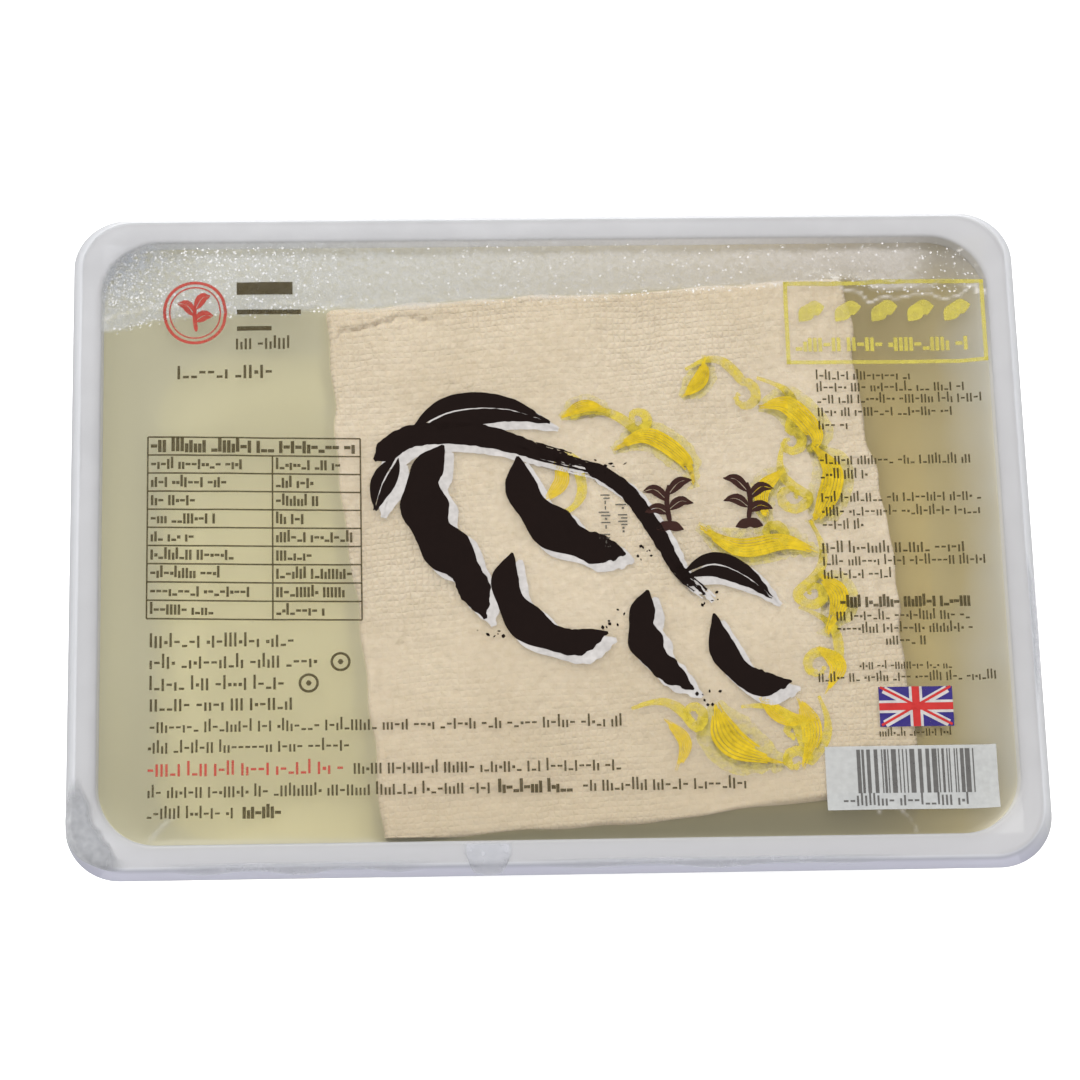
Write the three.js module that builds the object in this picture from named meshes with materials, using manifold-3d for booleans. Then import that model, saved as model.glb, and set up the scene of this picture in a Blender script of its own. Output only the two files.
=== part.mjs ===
// A sealed tub of fresh tofu: a milky plastic tray with a turned-down rim, a block of tofu
// standing in its soaking water, and a clear lidding film welded to the rim.
// Millimetres, +Z up. The origin is on the table under the middle of the tub, the long side
// runs along X and the front of the tub looks towards -Y.

import * as THREE from "three";
import { mergeVertices } from "three/addons/utils/BufferGeometryUtils.js";
import Module from "manifold-3d";

const wasm = await Module();
wasm.setup();

// ---- driving dimensions ------------------------------------------------------------------

const GAP = 0.3;                 // between neighbouring pieces
const DEGREE = Math.PI / 180;

// Tray: a sealing tray of about 187 x 136.
const RIM_LENGTH = 187;
const RIM_WIDTH = 136.2;
const RIM_TOP = 49.4;            // upper face of the rim
const RIM_CORNER = 10.5;         // corner radius of the rim's outer edge
const RIM_THICKNESS = 1.0;
const LIP_OUT = 1.6;             // the turned-down lip leans out by this
const LIP_DROP = 3.2;
const SIDE_FLANGE = 5.8;         // rim edge to mouth, on the two short sides
const LONG_FLANGE = 6.2;         // rim edge to mouth, at the front and the back
const MOUTH_CORNER = 11.5;
const FOOT_CORNER = 14;          // corner radius of the wall at the floor
const WALL = 0.9;
const DRAFT = 7 * DEGREE;
const LEDGE_TOP = 3.6;           // a stacking ledge runs round the wall, this far below the rim
const LEDGE_DROP = 1.4;
const LEDGE_WIDTH = 0.8;
const FOOT_RADIUS = 6;           // inner fillet between wall and floor
const FLOOR = 1.0;
const PANEL_RISE = 0.8;          // the middle of the floor is lifted, so the tub stands on a ring
const RING_WIDTH = 6.5;
const PANEL_SLOPE = 2.0;

// Section through rim and lip, from the underside round to the flat top: [in from the rim's
// outermost edge, down from its top].
const LIP_SECTION = [
  [LIP_OUT + RIM_THICKNESS, RIM_THICKNESS],
  [0.9, LIP_DROP],
  [0.3, LIP_DROP + 0.15],
  [0, LIP_DROP - 0.25],
  [1.0, 0.75],
  [1.4, 0.25],
  [2.15, 0],
];

// Section through the rounded mouth: [out from the wall's inner face, down from the rim's top].
const MOUTH_SECTION = [[0.45, 0], [0.12, 0.15], [0, 0.6]];
const THROAT = 1.6;              // the wall's outer face flares out to this, under the rim
const THROAT_HEIGHT = 0.6;

// Tofu block, pushed into the front-left of the tray and turned by a few degrees.
const BLOCK_BACK_LEFT = [-43.9, 48.4];
const BLOCK_BACK_RIGHT = [59.6, 54.1];
const BLOCK_FRONT_RIGHT = [69.5, -53.4];
const BLOCK_FRONT_LEFT = [-33.4, -62.5];
const BLOCK_BOTTOM = FLOOR + PANEL_RISE + GAP;
const BLOCK_TOP = 47.6;
const BLOCK_CORNER = 1.4;        // upright edges
const BLOCK_TOP_EDGE = 1.2;      // rounding of the upper edges
const BLOCK_FOOT_EDGE = 3.0;
const BLOCK_WALL_CLEAR = 1.0;    // the soft block follows the front wall at this distance
const BLOCK_WAVE = 0.35;         // how far the sides swell and dip
const BLOCK_BOW = 0.8;           // the left and right sides bulge by this at their middle
const BLOCK_LENGTH = 110;
const BLOCK_DISH = 0.45;         // how far the upper face rises and falls

// Soaking water: fills the tray round the block.
const WATER_TOP = 46.8;
const WATER_CUT = 0.35;          // clearance to the block
const CUTTER_REACH = 2;          // the block's hollow is cut this far out below the water
const WELD_DISTANCE = 1e-4;      // points closer than this are one point

// Film: welded on the rim, slack over the water and lifted along the back by trapped air.
const FILM = 0.3;
const FILM_INSET = 1.9;          // cut edge of the film, in from the rim's outer edge
const FILM_SAG = 0.75;
const FILM_POCKET = 0.7;
const POCKET_START = 10;         // the pocket begins to fall this far from the back of the mouth
const POCKET_END = 18;           // and ends here
const FILM_SLOPE = 7;            // from the mouth inwards, until the film hangs free
const FILM_RIPPLE = 0.12;

// Mesh resolution.
const CORNER_STEPS = 8;
const BLOCK_CORNER_STEPS = 4;
const BLOCK_SIDE_STEPS = 12;
const FILM_SIDE_STEPS = 9;
const FOOT_RINGS = [0, 0.06, 0.2, 0.42, 0.7, 1];                      // shares of the foot fillet
const BLOCK_TOP_RINGS = [0.97, 0.9, 0.8, 0.68, 0.55, 0.42, 0.28, 0.14]; // shares of its outline
const FILM_RINGS = [0.1, 0.22, 0.34, 0.46, 0.57, 0.67, 0.76, 0.83, 0.88, 0.925, 0.96, 1];

const COLOURS = {
  tray: "#d3d4d6",
  tofu: "#e6d8b9",
  water: "#b9b18c",
  film: "#e9ebee",
};

// ---- outlines ----------------------------------------------------------------------------

/**
 * Anticlockwise outline of a polygon whose corners are rounded: each point has its place
 * (x, y) and its outward normal (nx, ny). An arc's centre is where the two neighbouring
 * sides meet when both are moved in by the radius.
 */
function roundedOutline(corners, radius, cornerSteps, sideSteps) {
  const count = corners.length;
  const normals = corners.map(([x, y], k) => {
    const [nextX, nextY] = corners[(k + 1) % count];
    return new THREE.Vector2(nextY - y, x - nextX).normalize();
  });
  const arcs = corners.map(([x, y], k) => {
    const before = normals[(k + count - 1) % count];
    const after = normals[k];
    const pull = radius / (1 + before.dot(after));
    const centre = new THREE.Vector2(x, y).addScaledVector(before, -pull).addScaledVector(after, -pull);
    return Array.from({ length: cornerSteps + 1 }, (_, step) => {
      const normal = before.clone().lerp(after, step / cornerSteps).normalize();
      const place = centre.clone().addScaledVector(normal, radius);
      return { x: place.x, y: place.y, nx: normal.x, ny: normal.y };
    });
  });
  return arcs.flatMap((arc, k) => {
    const start = arc[arc.length - 1];
    const end = arcs[(k + 1) % count][0];
    const side = Array.from({ length: sideSteps - 1 }, (_, step) => {
      const share = (step + 1) / sideSteps;
      return {
        x: start.x + (end.x - start.x) * share,
        y: start.y + (end.y - start.y) * share,
        nx: start.nx,
        ny: start.ny,
      };
    });
    return [...arc, ...side];
  });
}

/** A rounded rectangle round the origin, as rings of the tray, the water and the film use it. */
function rectangleRing(halfLength, halfWidth, radius, z, sideSteps = 1) {
  const corners = [
    [halfLength, -halfWidth],
    [halfLength, halfWidth],
    [-halfLength, halfWidth],
    [-halfLength, -halfWidth],
  ];
  const outline = roundedOutline(corners, radius, CORNER_STEPS, sideSteps);
  return outline.map(({ x, y }) => new THREE.Vector3(x, y, z));
}

/**
 * Skin through a list of rings with equal numbers of points, closed by a fan at each end.
 * The faces point out where the rings run upwards on the outside of the piece.
 */
function loft(rings) {
  const count = rings[0].length;
  const middle = (ring) => ring.reduce((sum, p) => sum.add(p), new THREE.Vector3()).divideScalar(count);
  const points = [middle(rings[0]), ...rings.flat(), middle(rings[rings.length - 1])];
  const last = points.length - 1;
  const index = [];
  for (let i = 0; i < count; i += 1) {
    const next = (i + 1) % count;
    index.push(0, 1 + next, 1 + i);
    for (let k = 0; k + 1 < rings.length; k += 1) {
      const low = 1 + k * count;
      const high = low + count;
      index.push(low + i, low + next, high + next);
      index.push(low + i, high + next, high + i);
    }
    index.push(last, last - count + i, last - count + next);
  }
  const geometry = new THREE.BufferGeometry().setFromPoints(points);
  geometry.setIndex(index);
  return geometry;
}

/** Heights from one value to another in equal steps, both ends included. */
function steps(from, to, count) {
  return Array.from({ length: count + 1 }, (_, k) => from + ((to - from) * k) / count);
}

// ---- tray --------------------------------------------------------------------------------

/**
 * How far the wall stands in from the mouth at height z: the draft, the stacking ledge and
 * the fillet at the foot. "outward" gives the same for a skin that lies outside the inner one.
 */
function wallInset(z, outward = 0) {
  const depth = RIM_TOP - z;
  const ledge = THREE.MathUtils.smoothstep(depth, LEDGE_TOP, LEDGE_TOP + LEDGE_DROP) * LEDGE_WIDTH;
  const footRadius = FOOT_RADIUS + outward;
  const rise = Math.max(0, FLOOR + FOOT_RADIUS - z);
  const foot = footRadius - Math.sqrt(Math.max(0, footRadius ** 2 - rise ** 2));
  return depth * Math.tan(DRAFT) + ledge + foot - outward;
}

/** Ring of the wall's inner skin at height z, or of a skin that lies "outward" of it. */
function wallRing(z, outward = 0) {
  const inset = wallInset(z, outward);
  const radius = THREE.MathUtils.mapLinear(z, 0, RIM_TOP, FOOT_CORNER, MOUTH_CORNER) + outward / 2;
  return rectangleRing(
    RIM_LENGTH / 2 - SIDE_FLANGE - inset,
    RIM_WIDTH / 2 - LONG_FLANGE - inset,
    radius,
    z,
  );
}

/** Ring of the rim or the lip, "inset" in from the rim's outermost edge. */
function rimRing(inset, z) {
  return rectangleRing(RIM_LENGTH / 2 - inset, RIM_WIDTH / 2 - inset, RIM_CORNER, z);
}

/** Ring of the floor, "inset" in from where the foot fillet ends. */
function floorRing(inset, z) {
  const atFoot = wallInset(FLOOR);
  return rectangleRing(
    RIM_LENGTH / 2 - SIDE_FLANGE - atFoot - inset,
    RIM_WIDTH / 2 - LONG_FLANGE - atFoot - inset,
    FOOT_CORNER - FOOT_RADIUS,
    z,
  );
}

/** Heights of the wall's rings up to the ledge's top: close together round foot and ledge. */
function wallHeights(bottom) {
  const footTop = FLOOR + FOOT_RADIUS;
  const foot = FOOT_RINGS.map((share) => bottom + share * (footTop - bottom));
  const ledgeFoot = RIM_TOP - LEDGE_TOP - LEDGE_DROP;
  const middle = steps(footTop, ledgeFoot, 3).slice(1);
  const ledge = steps(ledgeFoot, RIM_TOP - LEDGE_TOP, 4).slice(1);
  return [...foot, ...middle, ...ledge];
}

/** The tray as one skin: under the floor, up the outside, over the rim and down the inside. */
function trayGeometry() {
  const underside = [
    floorRing(RING_WIDTH + PANEL_SLOPE, PANEL_RISE),
    floorRing(RING_WIDTH, 0),
  ];
  const outside = wallHeights(0).map((z) => wallRing(z, z < FLOOR + FOOT_RADIUS ? FLOOR : WALL));
  const throat = [
    wallRing(RIM_TOP - RIM_THICKNESS - THROAT_HEIGHT, WALL),
    wallRing(RIM_TOP - RIM_THICKNESS, THROAT),
  ];
  const lip = LIP_SECTION.map(([inset, down]) => rimRing(inset, RIM_TOP - down));
  const mouth = MOUTH_SECTION.map(([outward, down]) => wallRing(RIM_TOP - down, outward));
  const inside = wallHeights(FLOOR).reverse().map((z) => wallRing(z));
  const floor = [
    floorRing(RING_WIDTH, FLOOR),
    floorRing(RING_WIDTH + PANEL_SLOPE, FLOOR + PANEL_RISE),
  ];
  return loft([...underside, ...outside, ...throat, ...lip, ...mouth, ...inside, ...floor]);
}

// ---- tofu block --------------------------------------------------------------------------

const blockOutline = roundedOutline(
  [BLOCK_FRONT_LEFT, BLOCK_FRONT_RIGHT, BLOCK_BACK_RIGHT, BLOCK_BACK_LEFT],
  BLOCK_CORNER,
  BLOCK_CORNER_STEPS,
  BLOCK_SIDE_STEPS,
);

/** Swelling of the block's side: two slow waves that cross along it and up it. */
function sideWave(x, y, z) {
  return BLOCK_WAVE * (Math.sin(0.11 * x + 0.06 * z) * Math.sin(0.09 * y - 0.08 * z + 1.2) - 0.4);
}

/** Bulge of the sides that face left and right: one arch from the front to the back. */
function sideBow(nx, y) {
  return BLOCK_BOW * Math.abs(nx) * Math.cos((Math.PI * y) / BLOCK_LENGTH);
}

/** Rise of the block's upper face: a soft dish with slow waves in it. */
function topWave(x, y) {
  return BLOCK_DISH * (0.6 * Math.sin(0.075 * x + 0.5) * Math.cos(0.068 * y - 0.3)
    + 0.4 * Math.sin(0.16 * x - 0.11 * y));
}

/**
 * Ring of the block at height z, grown outwards by "grow". Where the tray's front wall leans
 * into it, the soft block gives way and keeps its distance.
 */
function blockRing(z, grow = 0) {
  const frontWall = RIM_WIDTH / 2 - LONG_FLANGE - wallInset(z);
  const limit = BLOCK_WALL_CLEAR - frontWall;
  return blockOutline.map(({ x, y, nx, ny }) => {
    const swell = sideWave(x, y, z) + sideBow(nx, y);
    const placeY = Math.max(y + ny * swell, limit);
    return new THREE.Vector3(x + nx * (swell + grow), placeY + ny * grow, z);
  });
}

const quarterTurn = steps(0, 90, 4).map((angle) => angle * DEGREE);

/** Heights and insets of the block's side rings: rounded foot, straight sides, rounded edge. */
const blockSides = [
  ...quarterTurn.map((angle) => ({
    z: BLOCK_BOTTOM + BLOCK_FOOT_EDGE * (1 - Math.sin(angle)),
    inset: BLOCK_FOOT_EDGE * (1 - Math.cos(angle)),
  })).reverse(),
  ...steps(BLOCK_BOTTOM + BLOCK_FOOT_EDGE, BLOCK_TOP - BLOCK_TOP_EDGE, 7)
    .slice(1, -1)
    .map((z) => ({ z, inset: 0 })),
  ...quarterTurn.map((angle) => ({
    z: BLOCK_TOP - BLOCK_TOP_EDGE * (1 - Math.sin(angle)),
    inset: BLOCK_TOP_EDGE * (1 - Math.cos(angle)),
  })),
];

/** The block: its side rings, then rings that close over its gently uneven top. */
function blockGeometry() {
  const sides = blockSides.map(({ z, inset }) => blockRing(z, -inset));
  const edge = sides[sides.length - 1];
  const centre = edge.reduce((sum, p) => sum.add(p), new THREE.Vector3()).divideScalar(edge.length);
  const inner = BLOCK_TOP_RINGS
    .map((share) => edge.map((p) => p.clone().sub(centre).multiplyScalar(share).add(centre)));
  const rings = [...sides, ...inner];
  for (const point of rings.flat()) {
    const share = THREE.MathUtils.smoothstep(point.z, BLOCK_TOP - BLOCK_TOP_EDGE, BLOCK_TOP);
    point.z += topWave(point.x, point.y) * share;
  }
  return loft(rings);
}

// ---- soaking water -----------------------------------------------------------------------

function toSolid(geometry) {
  const bare = geometry.clone();
  for (const name of Object.keys(bare.attributes)) {
    if (name !== "position") bare.deleteAttribute(name);
  }
  const merged = mergeVertices(bare, WELD_DISTANCE);
  return new wasm.Manifold(new wasm.Mesh({
    numProp: 3,
    vertProperties: new Float32Array(merged.attributes.position.array),
    triVerts: new Uint32Array(merged.index.array),
  }));
}

function toGeometry(solid) {
  const mesh = solid.getMesh();
  const geometry = new THREE.BufferGeometry();
  geometry.setAttribute("position", new THREE.BufferAttribute(new Float32Array(mesh.vertProperties), 3));
  geometry.setIndex(new THREE.BufferAttribute(new Uint32Array(mesh.triVerts), 1));
  return geometry;
}

/** The water: the inside of the tray up to its level, less the grown block, open underneath. */
function waterGeometry() {
  const bottom = FLOOR + PANEL_RISE + GAP;
  const heights = [...wallHeights(bottom), WATER_TOP];
  const filling = loft(heights.map((z) => wallRing(z, -GAP)));
  const [foot, ...sides] = blockSides.map(({ z }) => blockRing(z, WATER_CUT));
  const below = foot.map(({ x, y }) => new THREE.Vector3(x, y, bottom - CUTTER_REACH));
  const cutter = loft([below, foot, ...sides]);
  return toGeometry(toSolid(filling).subtract(toSolid(cutter)));
}

// ---- lidding film ------------------------------------------------------------------------

/**
 * Height of the film over the mouth: welded flat on the rim, slack inside it, and lifted along
 * the back where air is trapped, with a few slow ripples.
 */
function filmRise(x, y) {
  const fromSide = RIM_LENGTH / 2 - SIDE_FLANGE - Math.abs(x);
  const fromBack = RIM_WIDTH / 2 - LONG_FLANGE - y;
  const fromFront = RIM_WIDTH / 2 - LONG_FLANGE + y;
  const free = THREE.MathUtils.smoothstep(Math.min(fromSide, fromBack, fromFront), 0, FILM_SLOPE);
  const pocket = 1 - THREE.MathUtils.smoothstep(fromBack, POCKET_START, POCKET_END);
  const wave = Math.sin(0.13 * x + 0.05 * y) * Math.sin(0.1 * y - 0.04 * x + 0.8);
  const ripple = FILM_RIPPLE * wave;
  return free * (FILM_POCKET * pocket - FILM_SAG * (1 - pocket) + ripple);
}

/** The film: one face from the middle out to the cut edge, and the other back to the middle. */
function filmGeometry() {
  const halfLength = RIM_LENGTH / 2 - FILM_INSET;
  const halfWidth = RIM_WIDTH / 2 - FILM_INSET;
  const face = (z) => FILM_RINGS.map((share) => {
    const ring = rectangleRing(
      halfLength * share, halfWidth * share, RIM_CORNER * share, 0, FILM_SIDE_STEPS);
    return ring.map(({ x, y }) => new THREE.Vector3(x, y, z + filmRise(x, y)));
  });
  const under = face(RIM_TOP + GAP);
  const upper = face(RIM_TOP + GAP + FILM).reverse();
  return loft([...under, ...upper]);
}

// ---- assembly ----------------------------------------------------------------------------

function part(name, geometry, settings) {
  geometry.computeVertexNormals();
  const mesh = new THREE.Mesh(geometry, new THREE.MeshStandardMaterial({ metalness: 0, ...settings }));
  mesh.name = name;
  return mesh;
}

const tub = new THREE.Group();
tub.add(part("tray", trayGeometry(), { color: COLOURS.tray, roughness: 0.35 }));
tub.add(part("tofu_block", blockGeometry(), { color: COLOURS.tofu, roughness: 0.6 }));
tub.add(part("water", waterGeometry(), {
  color: COLOURS.water, roughness: 0.08, transparent: true, opacity: 0.7,
}));
tub.add(part("film", filmGeometry(), {
  color: COLOURS.film, roughness: 0.1, transparent: true, opacity: 0.25,
}));

export default tub;
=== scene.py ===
# %% [markdown]
# # A sealed tub of fresh tofu
#
# On the real thing a shallow tray of milky plastic is filled with cloudy soaking water. A block of
# tofu stands in it, and a clear film that carries the print is welded to the rim. We build it from
# the inside out: block, water, tray, film, dew and print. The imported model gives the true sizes,
# and it is loaded first, because every piece has to sit where that model says.

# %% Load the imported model
import math

import bpy
import numpy as np
from mathutils import Matrix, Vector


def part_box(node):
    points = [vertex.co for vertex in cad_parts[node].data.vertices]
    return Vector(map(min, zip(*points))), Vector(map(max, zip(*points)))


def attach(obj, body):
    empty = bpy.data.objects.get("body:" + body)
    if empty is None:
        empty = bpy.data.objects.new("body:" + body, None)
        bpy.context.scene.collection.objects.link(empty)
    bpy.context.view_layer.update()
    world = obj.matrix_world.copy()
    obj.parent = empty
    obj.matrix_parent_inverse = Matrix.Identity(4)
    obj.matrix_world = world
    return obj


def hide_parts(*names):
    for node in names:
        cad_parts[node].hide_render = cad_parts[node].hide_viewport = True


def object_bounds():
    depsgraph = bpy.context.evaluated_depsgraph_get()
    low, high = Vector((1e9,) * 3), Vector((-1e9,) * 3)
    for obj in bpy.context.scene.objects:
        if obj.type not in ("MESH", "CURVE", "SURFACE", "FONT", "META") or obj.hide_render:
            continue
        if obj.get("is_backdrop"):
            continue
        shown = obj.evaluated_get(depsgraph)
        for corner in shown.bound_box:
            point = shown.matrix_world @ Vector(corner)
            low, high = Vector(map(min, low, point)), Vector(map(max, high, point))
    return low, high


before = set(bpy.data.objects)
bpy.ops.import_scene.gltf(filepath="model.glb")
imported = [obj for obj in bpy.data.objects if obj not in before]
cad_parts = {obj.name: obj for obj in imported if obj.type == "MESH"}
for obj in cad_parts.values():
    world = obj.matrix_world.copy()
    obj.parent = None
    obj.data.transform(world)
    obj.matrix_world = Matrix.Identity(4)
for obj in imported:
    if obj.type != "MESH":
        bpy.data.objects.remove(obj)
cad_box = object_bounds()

MM = 0.001               # shapes are worked out in millimetres and stored in metres
SHARP_FROM = 50          # faces that meet at more degrees than this keep a crisp edge


def box_mm(node):
    """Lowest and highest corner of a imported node, in millimetres."""
    low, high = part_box(node)
    return np.array(low) / MM, np.array(high) / MM


RIM_HALF = box_mm("tray")[1][:2]
RIM_TOP = box_mm("tray")[1][2]
WATER_TOP = box_mm("water")[1][2]
BLOCK_LOW, BLOCK_HIGH = (corner[2] for corner in box_mm("tofu_block"))
print("rim", RIM_HALF * 2, "rim top", RIM_TOP, "water", WATER_TOP, "block", BLOCK_LOW, BLOCK_HIGH)

# %% [markdown]
# ## Camera
#
# The tub is seen from the front and steeply from above, through a long lens, so its long sides
# hardly converge. We turn the camera with three plain rotations, each about one axis. That is
# easier to read than an aim point, and it keeps the small roll that a hand-held camera has.

# %% Place the camera
CAMERA_PLACE = (-34.1, -270.1, 774.6)
CAMERA_TURNS = ((20.30, "X"), (-2.33, "Y"), (-0.71, "Z"))
LENS_MM = 133.3
SENSOR_MM = 36.0

camera_data = bpy.data.cameras.new("camera")
camera_data.sensor_width = SENSOR_MM
camera_data.lens = LENS_MM
camera_data.clip_start = 0.01
camera = bpy.data.objects.new("camera", camera_data)
bpy.context.collection.objects.link(camera)
turn = Matrix.Identity(3)
for degrees, axis in CAMERA_TURNS:
    turn = turn @ Matrix.Rotation(math.radians(degrees), 3, axis)
camera.matrix_world = Matrix.Translation([c * MM for c in CAMERA_PLACE]) @ turn.to_4x4()
bpy.context.scene.camera = camera
print("camera at", CAMERA_PLACE, "lens", LENS_MM)

# %% [markdown]
# ## Meshes from arrays
#
# Every new shape is a grid of points worked out by a formula, so three small helpers are enough.
# One turns arrays into a mesh object, one lists the quads between neighbouring rings, and one
# joins many small shapes into one piece. We let numpy do the sums on whole arrays, which keeps a
# hundred thousand points quick.

# %% Helpers for meshes
def new_piece(name, points, faces, slot, material, replaced=None):
    """Store points (n, 3), in millimetres, and faces as a smooth mesh that rides on the tub."""
    mesh = bpy.data.meshes.new(name)
    mesh.from_pydata((np.asarray(points) * MM).tolist(), [], faces)
    mesh.polygons.foreach_set("use_smooth", np.ones(len(mesh.polygons), dtype=bool))
    mesh.set_sharp_from_angle(angle=math.radians(SHARP_FROM))
    mesh.materials.append(material)
    piece = bpy.data.objects.new(name, mesh)
    bpy.context.collection.objects.link(piece)
    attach(piece, "root")
    if replaced:
        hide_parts(replaced)
    triangles = sum(len(face) - 2 for face in faces)
    print(f"{name}: {len(points)} points, {triangles} triangles")
    return piece


def ring_quads(rings, count, start=0, closed=False):
    """Quads between neighbouring rings of count points, each ring lying above the one before.

    Point i of ring k has the number start + k * count + i. The quads face outwards where the
    rings run anticlockwise and upwards. closed joins the last ring to the first.
    """
    i = np.arange(count)
    after = (i + 1) % count
    low = np.arange(rings if closed else rings - 1)[:, None]
    high = (low + 1) % rings
    corners = [low * count + i, low * count + after, high * count + after, high * count + i]
    return (np.stack(corners, -1).reshape(-1, 4) + start).tolist()


def fan(ring, centre, upwards):
    """Triangles from a ring of point numbers to one centre point."""
    after = np.roll(ring, -1)
    middle = np.full_like(ring, centre)
    order = (middle, ring, after) if upwards else (middle, after, ring)
    return np.stack(order, -1).tolist()


def join(shapes):
    """One list of points and faces out of many shapes, each with its own numbering."""
    starts = np.cumsum([0] + [len(points) for points, _ in shapes])
    faces = [[n + int(start) for n in face]
             for (_, part), start in zip(shapes, starts) for face in part]
    return np.concatenate([points for points, _ in shapes]), faces


def ripples(x, y, wavelength, seed, waves=14):
    """Smooth random relief between about -1 and 1, the same on each run.

    It is a sum of plane waves: each has a random direction and phase, and a wavelength within a
    third of the given one. Dividing by the root of their number keeps the height near 1.
    """
    draw = np.random.default_rng(seed)
    total = np.zeros(np.broadcast(x, y).shape)
    for _ in range(waves):
        angle = draw.uniform(0, 2 * np.pi)
        length = wavelength * draw.uniform(0.7, 1.35)
        phase = draw.uniform(0, 2 * np.pi)
        total += np.sin((x * np.cos(angle) + y * np.sin(angle)) * 2 * np.pi / length + phase)
    return total / math.sqrt(waves)


def smoothstep(value, start, end):
    """0 below start, 1 above end, and 3t^2 - 2t^3 between them."""
    t = np.clip((value - start) / (end - start), 0, 1)
    return t * t * (3 - 2 * t)


# %% [markdown]
# ## Shared shader effects
#
# Two effects are node groups with named inputs, each built once: a fine mottle, which nearly
# every material here uses at a scale of its own, and the print of a woven cloth. A group only
# puts out a value or a height, because the exporter can bake those, while each shader stays in
# its own material.

# %% Node groups
def new_group(name, inputs, output):
    """An empty node group with float inputs {name: default} and one float output."""
    group = bpy.data.node_groups.new(name, "ShaderNodeTree")
    for label, value in inputs.items():
        socket = group.interface.new_socket(name=label, in_out="INPUT", socket_type="NodeSocketFloat")
        socket.default_value = value
    group.interface.new_socket(name=output, in_out="OUTPUT", socket_type="NodeSocketFloat")
    nodes = group.nodes
    return group, nodes.new("NodeGroupInput"), nodes.new("NodeGroupOutput")


def add_node(tree, kind, links=(), **settings):
    """Add a node, set its properties and sockets by name, and link (socket, source) pairs."""
    node = tree.nodes.new("ShaderNode" + kind)
    for label, value in settings.items():
        if hasattr(node, label):
            setattr(node, label, value)
        else:
            node.inputs[label.replace("_", " ")].default_value = value
    for socket, source in links:
        tree.links.new(source, node.inputs[socket])
    return node


def math_node(tree, operation, first, second):
    """A Math node of two values, each a socket or a number."""
    node = tree.nodes.new("ShaderNodeMath")
    node.operation = operation
    for socket, value in zip(node.inputs, (first, second)):
        if isinstance(value, (int, float)):
            socket.default_value = value
        else:
            tree.links.new(value, socket)
    return node.outputs[0]


def times(tree, *values):
    """The product of several values, each a socket or a number."""
    product = values[0]
    for value in values[1:]:
        product = math_node(tree, "MULTIPLY", product, value)
    return product


def mottle_group():
    """Two noises, one coarse and one fine, mixed half and half."""
    group, inside, outside = new_group("fine_mottle", {"Scale": 100.0, "Fineness": 6.0}, "Value")
    place = add_node(group, "TexCoord").outputs["Object"]
    scale = inside.outputs["Scale"]
    fine_scale = times(group, scale, inside.outputs["Fineness"])
    coarse = add_node(group, "TexNoise", [("Vector", place), ("Scale", scale)], Detail=2.0)
    fine = add_node(group, "TexNoise", [("Vector", place), ("Scale", fine_scale)], Detail=1.0)
    total = math_node(group, "ADD", coarse.outputs[0], fine.outputs[0])
    group.links.new(times(group, total, 0.5), outside.inputs["Value"])
    return group


def cloth_group():
    """The print of a plain weave, pressed unevenly into the curd.

    The height of a weave is the smaller of |sin| along x and |sin| along y, so that it falls to
    nothing on every thread. Two noises bend the threads, a slow one presses them more here and
    less there, and a fine one adds the grain of the curd. The threads show a little more towards
    the right, where the cloth lay tighter, and the whole print fades towards the front.
    """
    inputs = {"Threads": 660.0, "Turn": 0.09, "Wear": 0.5}
    group, inside, outside = new_group("cloth_print", inputs, "Height")
    place = add_node(group, "TexCoord").outputs["Object"]
    turned = group.nodes.new("ShaderNodeVectorRotate")
    turned.rotation_type = "Z_AXIS"
    group.links.new(place, turned.inputs["Vector"])
    group.links.new(inside.outputs["Turn"], turned.inputs["Angle"])
    bent = turned.outputs[0]
    for scale, reach in ((60.0, 0.0022), (420.0, 0.0009)):
        noise = add_node(group, "TexNoise", [("Vector", place)], Scale=scale, Detail=1.0)
        shift = add_node(group, "VectorMath", [(0, noise.outputs["Color"]), (2, bent)],
                         operation="MULTIPLY_ADD")
        shift.inputs[1].default_value = (reach, reach, reach)
        bent = shift.outputs[0]
    apart = add_node(group, "SeparateXYZ", [("Vector", bent)])
    threads = []
    for axis in ("X", "Y"):
        angle = times(group, apart.outputs[axis], inside.outputs["Threads"], math.pi)
        threads.append(math_node(group, "ABSOLUTE", math_node(group, "SINE", angle, 0.0), 0.0))
    slow = add_node(group, "TexNoise", [("Vector", place)], Scale=30.0, Detail=1.0)
    plan = add_node(group, "SeparateXYZ", [("Vector", place)])
    pressed, tight, back = (
        add_node(group, "MapRange", [("Value", value)], From_Min=start, From_Max=end, To_Min=least)
        for value, start, end, least in ((slow.outputs[0], 0.35, 0.62, 0.2),
                                         (plan.outputs["X"], -0.04, 0.045, 0.88),
                                         (plan.outputs["Y"], -0.05, -0.005, 0.6)))
    weave = times(group, math_node(group, "MINIMUM", *threads), pressed.outputs[0], tight.outputs[0])
    grain = add_node(group, "TexNoise", [("Vector", place)], Scale=700.0, Detail=4.0, Roughness=0.6)
    worn = times(group, grain.outputs[0], inside.outputs["Wear"])
    relief = math_node(group, "ADD", times(group, weave, 0.6), worn)
    group.links.new(times(group, relief, back.outputs[0], 0.64), outside.inputs["Height"])
    return group


MOTTLE = mottle_group()
CLOTH = cloth_group()
print("node groups:", [group.name for group in bpy.data.node_groups])


# %% Helpers for materials
def new_material(name, **settings):
    """A material with one Principled shader, its sockets set by name."""
    material = bpy.data.materials.new(name)
    material.use_nodes = True
    shader = material.node_tree.nodes["Principled BSDF"]
    for label, value in settings.items():
        shader.inputs[label.replace("_", " ")].default_value = value
    return material, material.node_tree, shader


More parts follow.
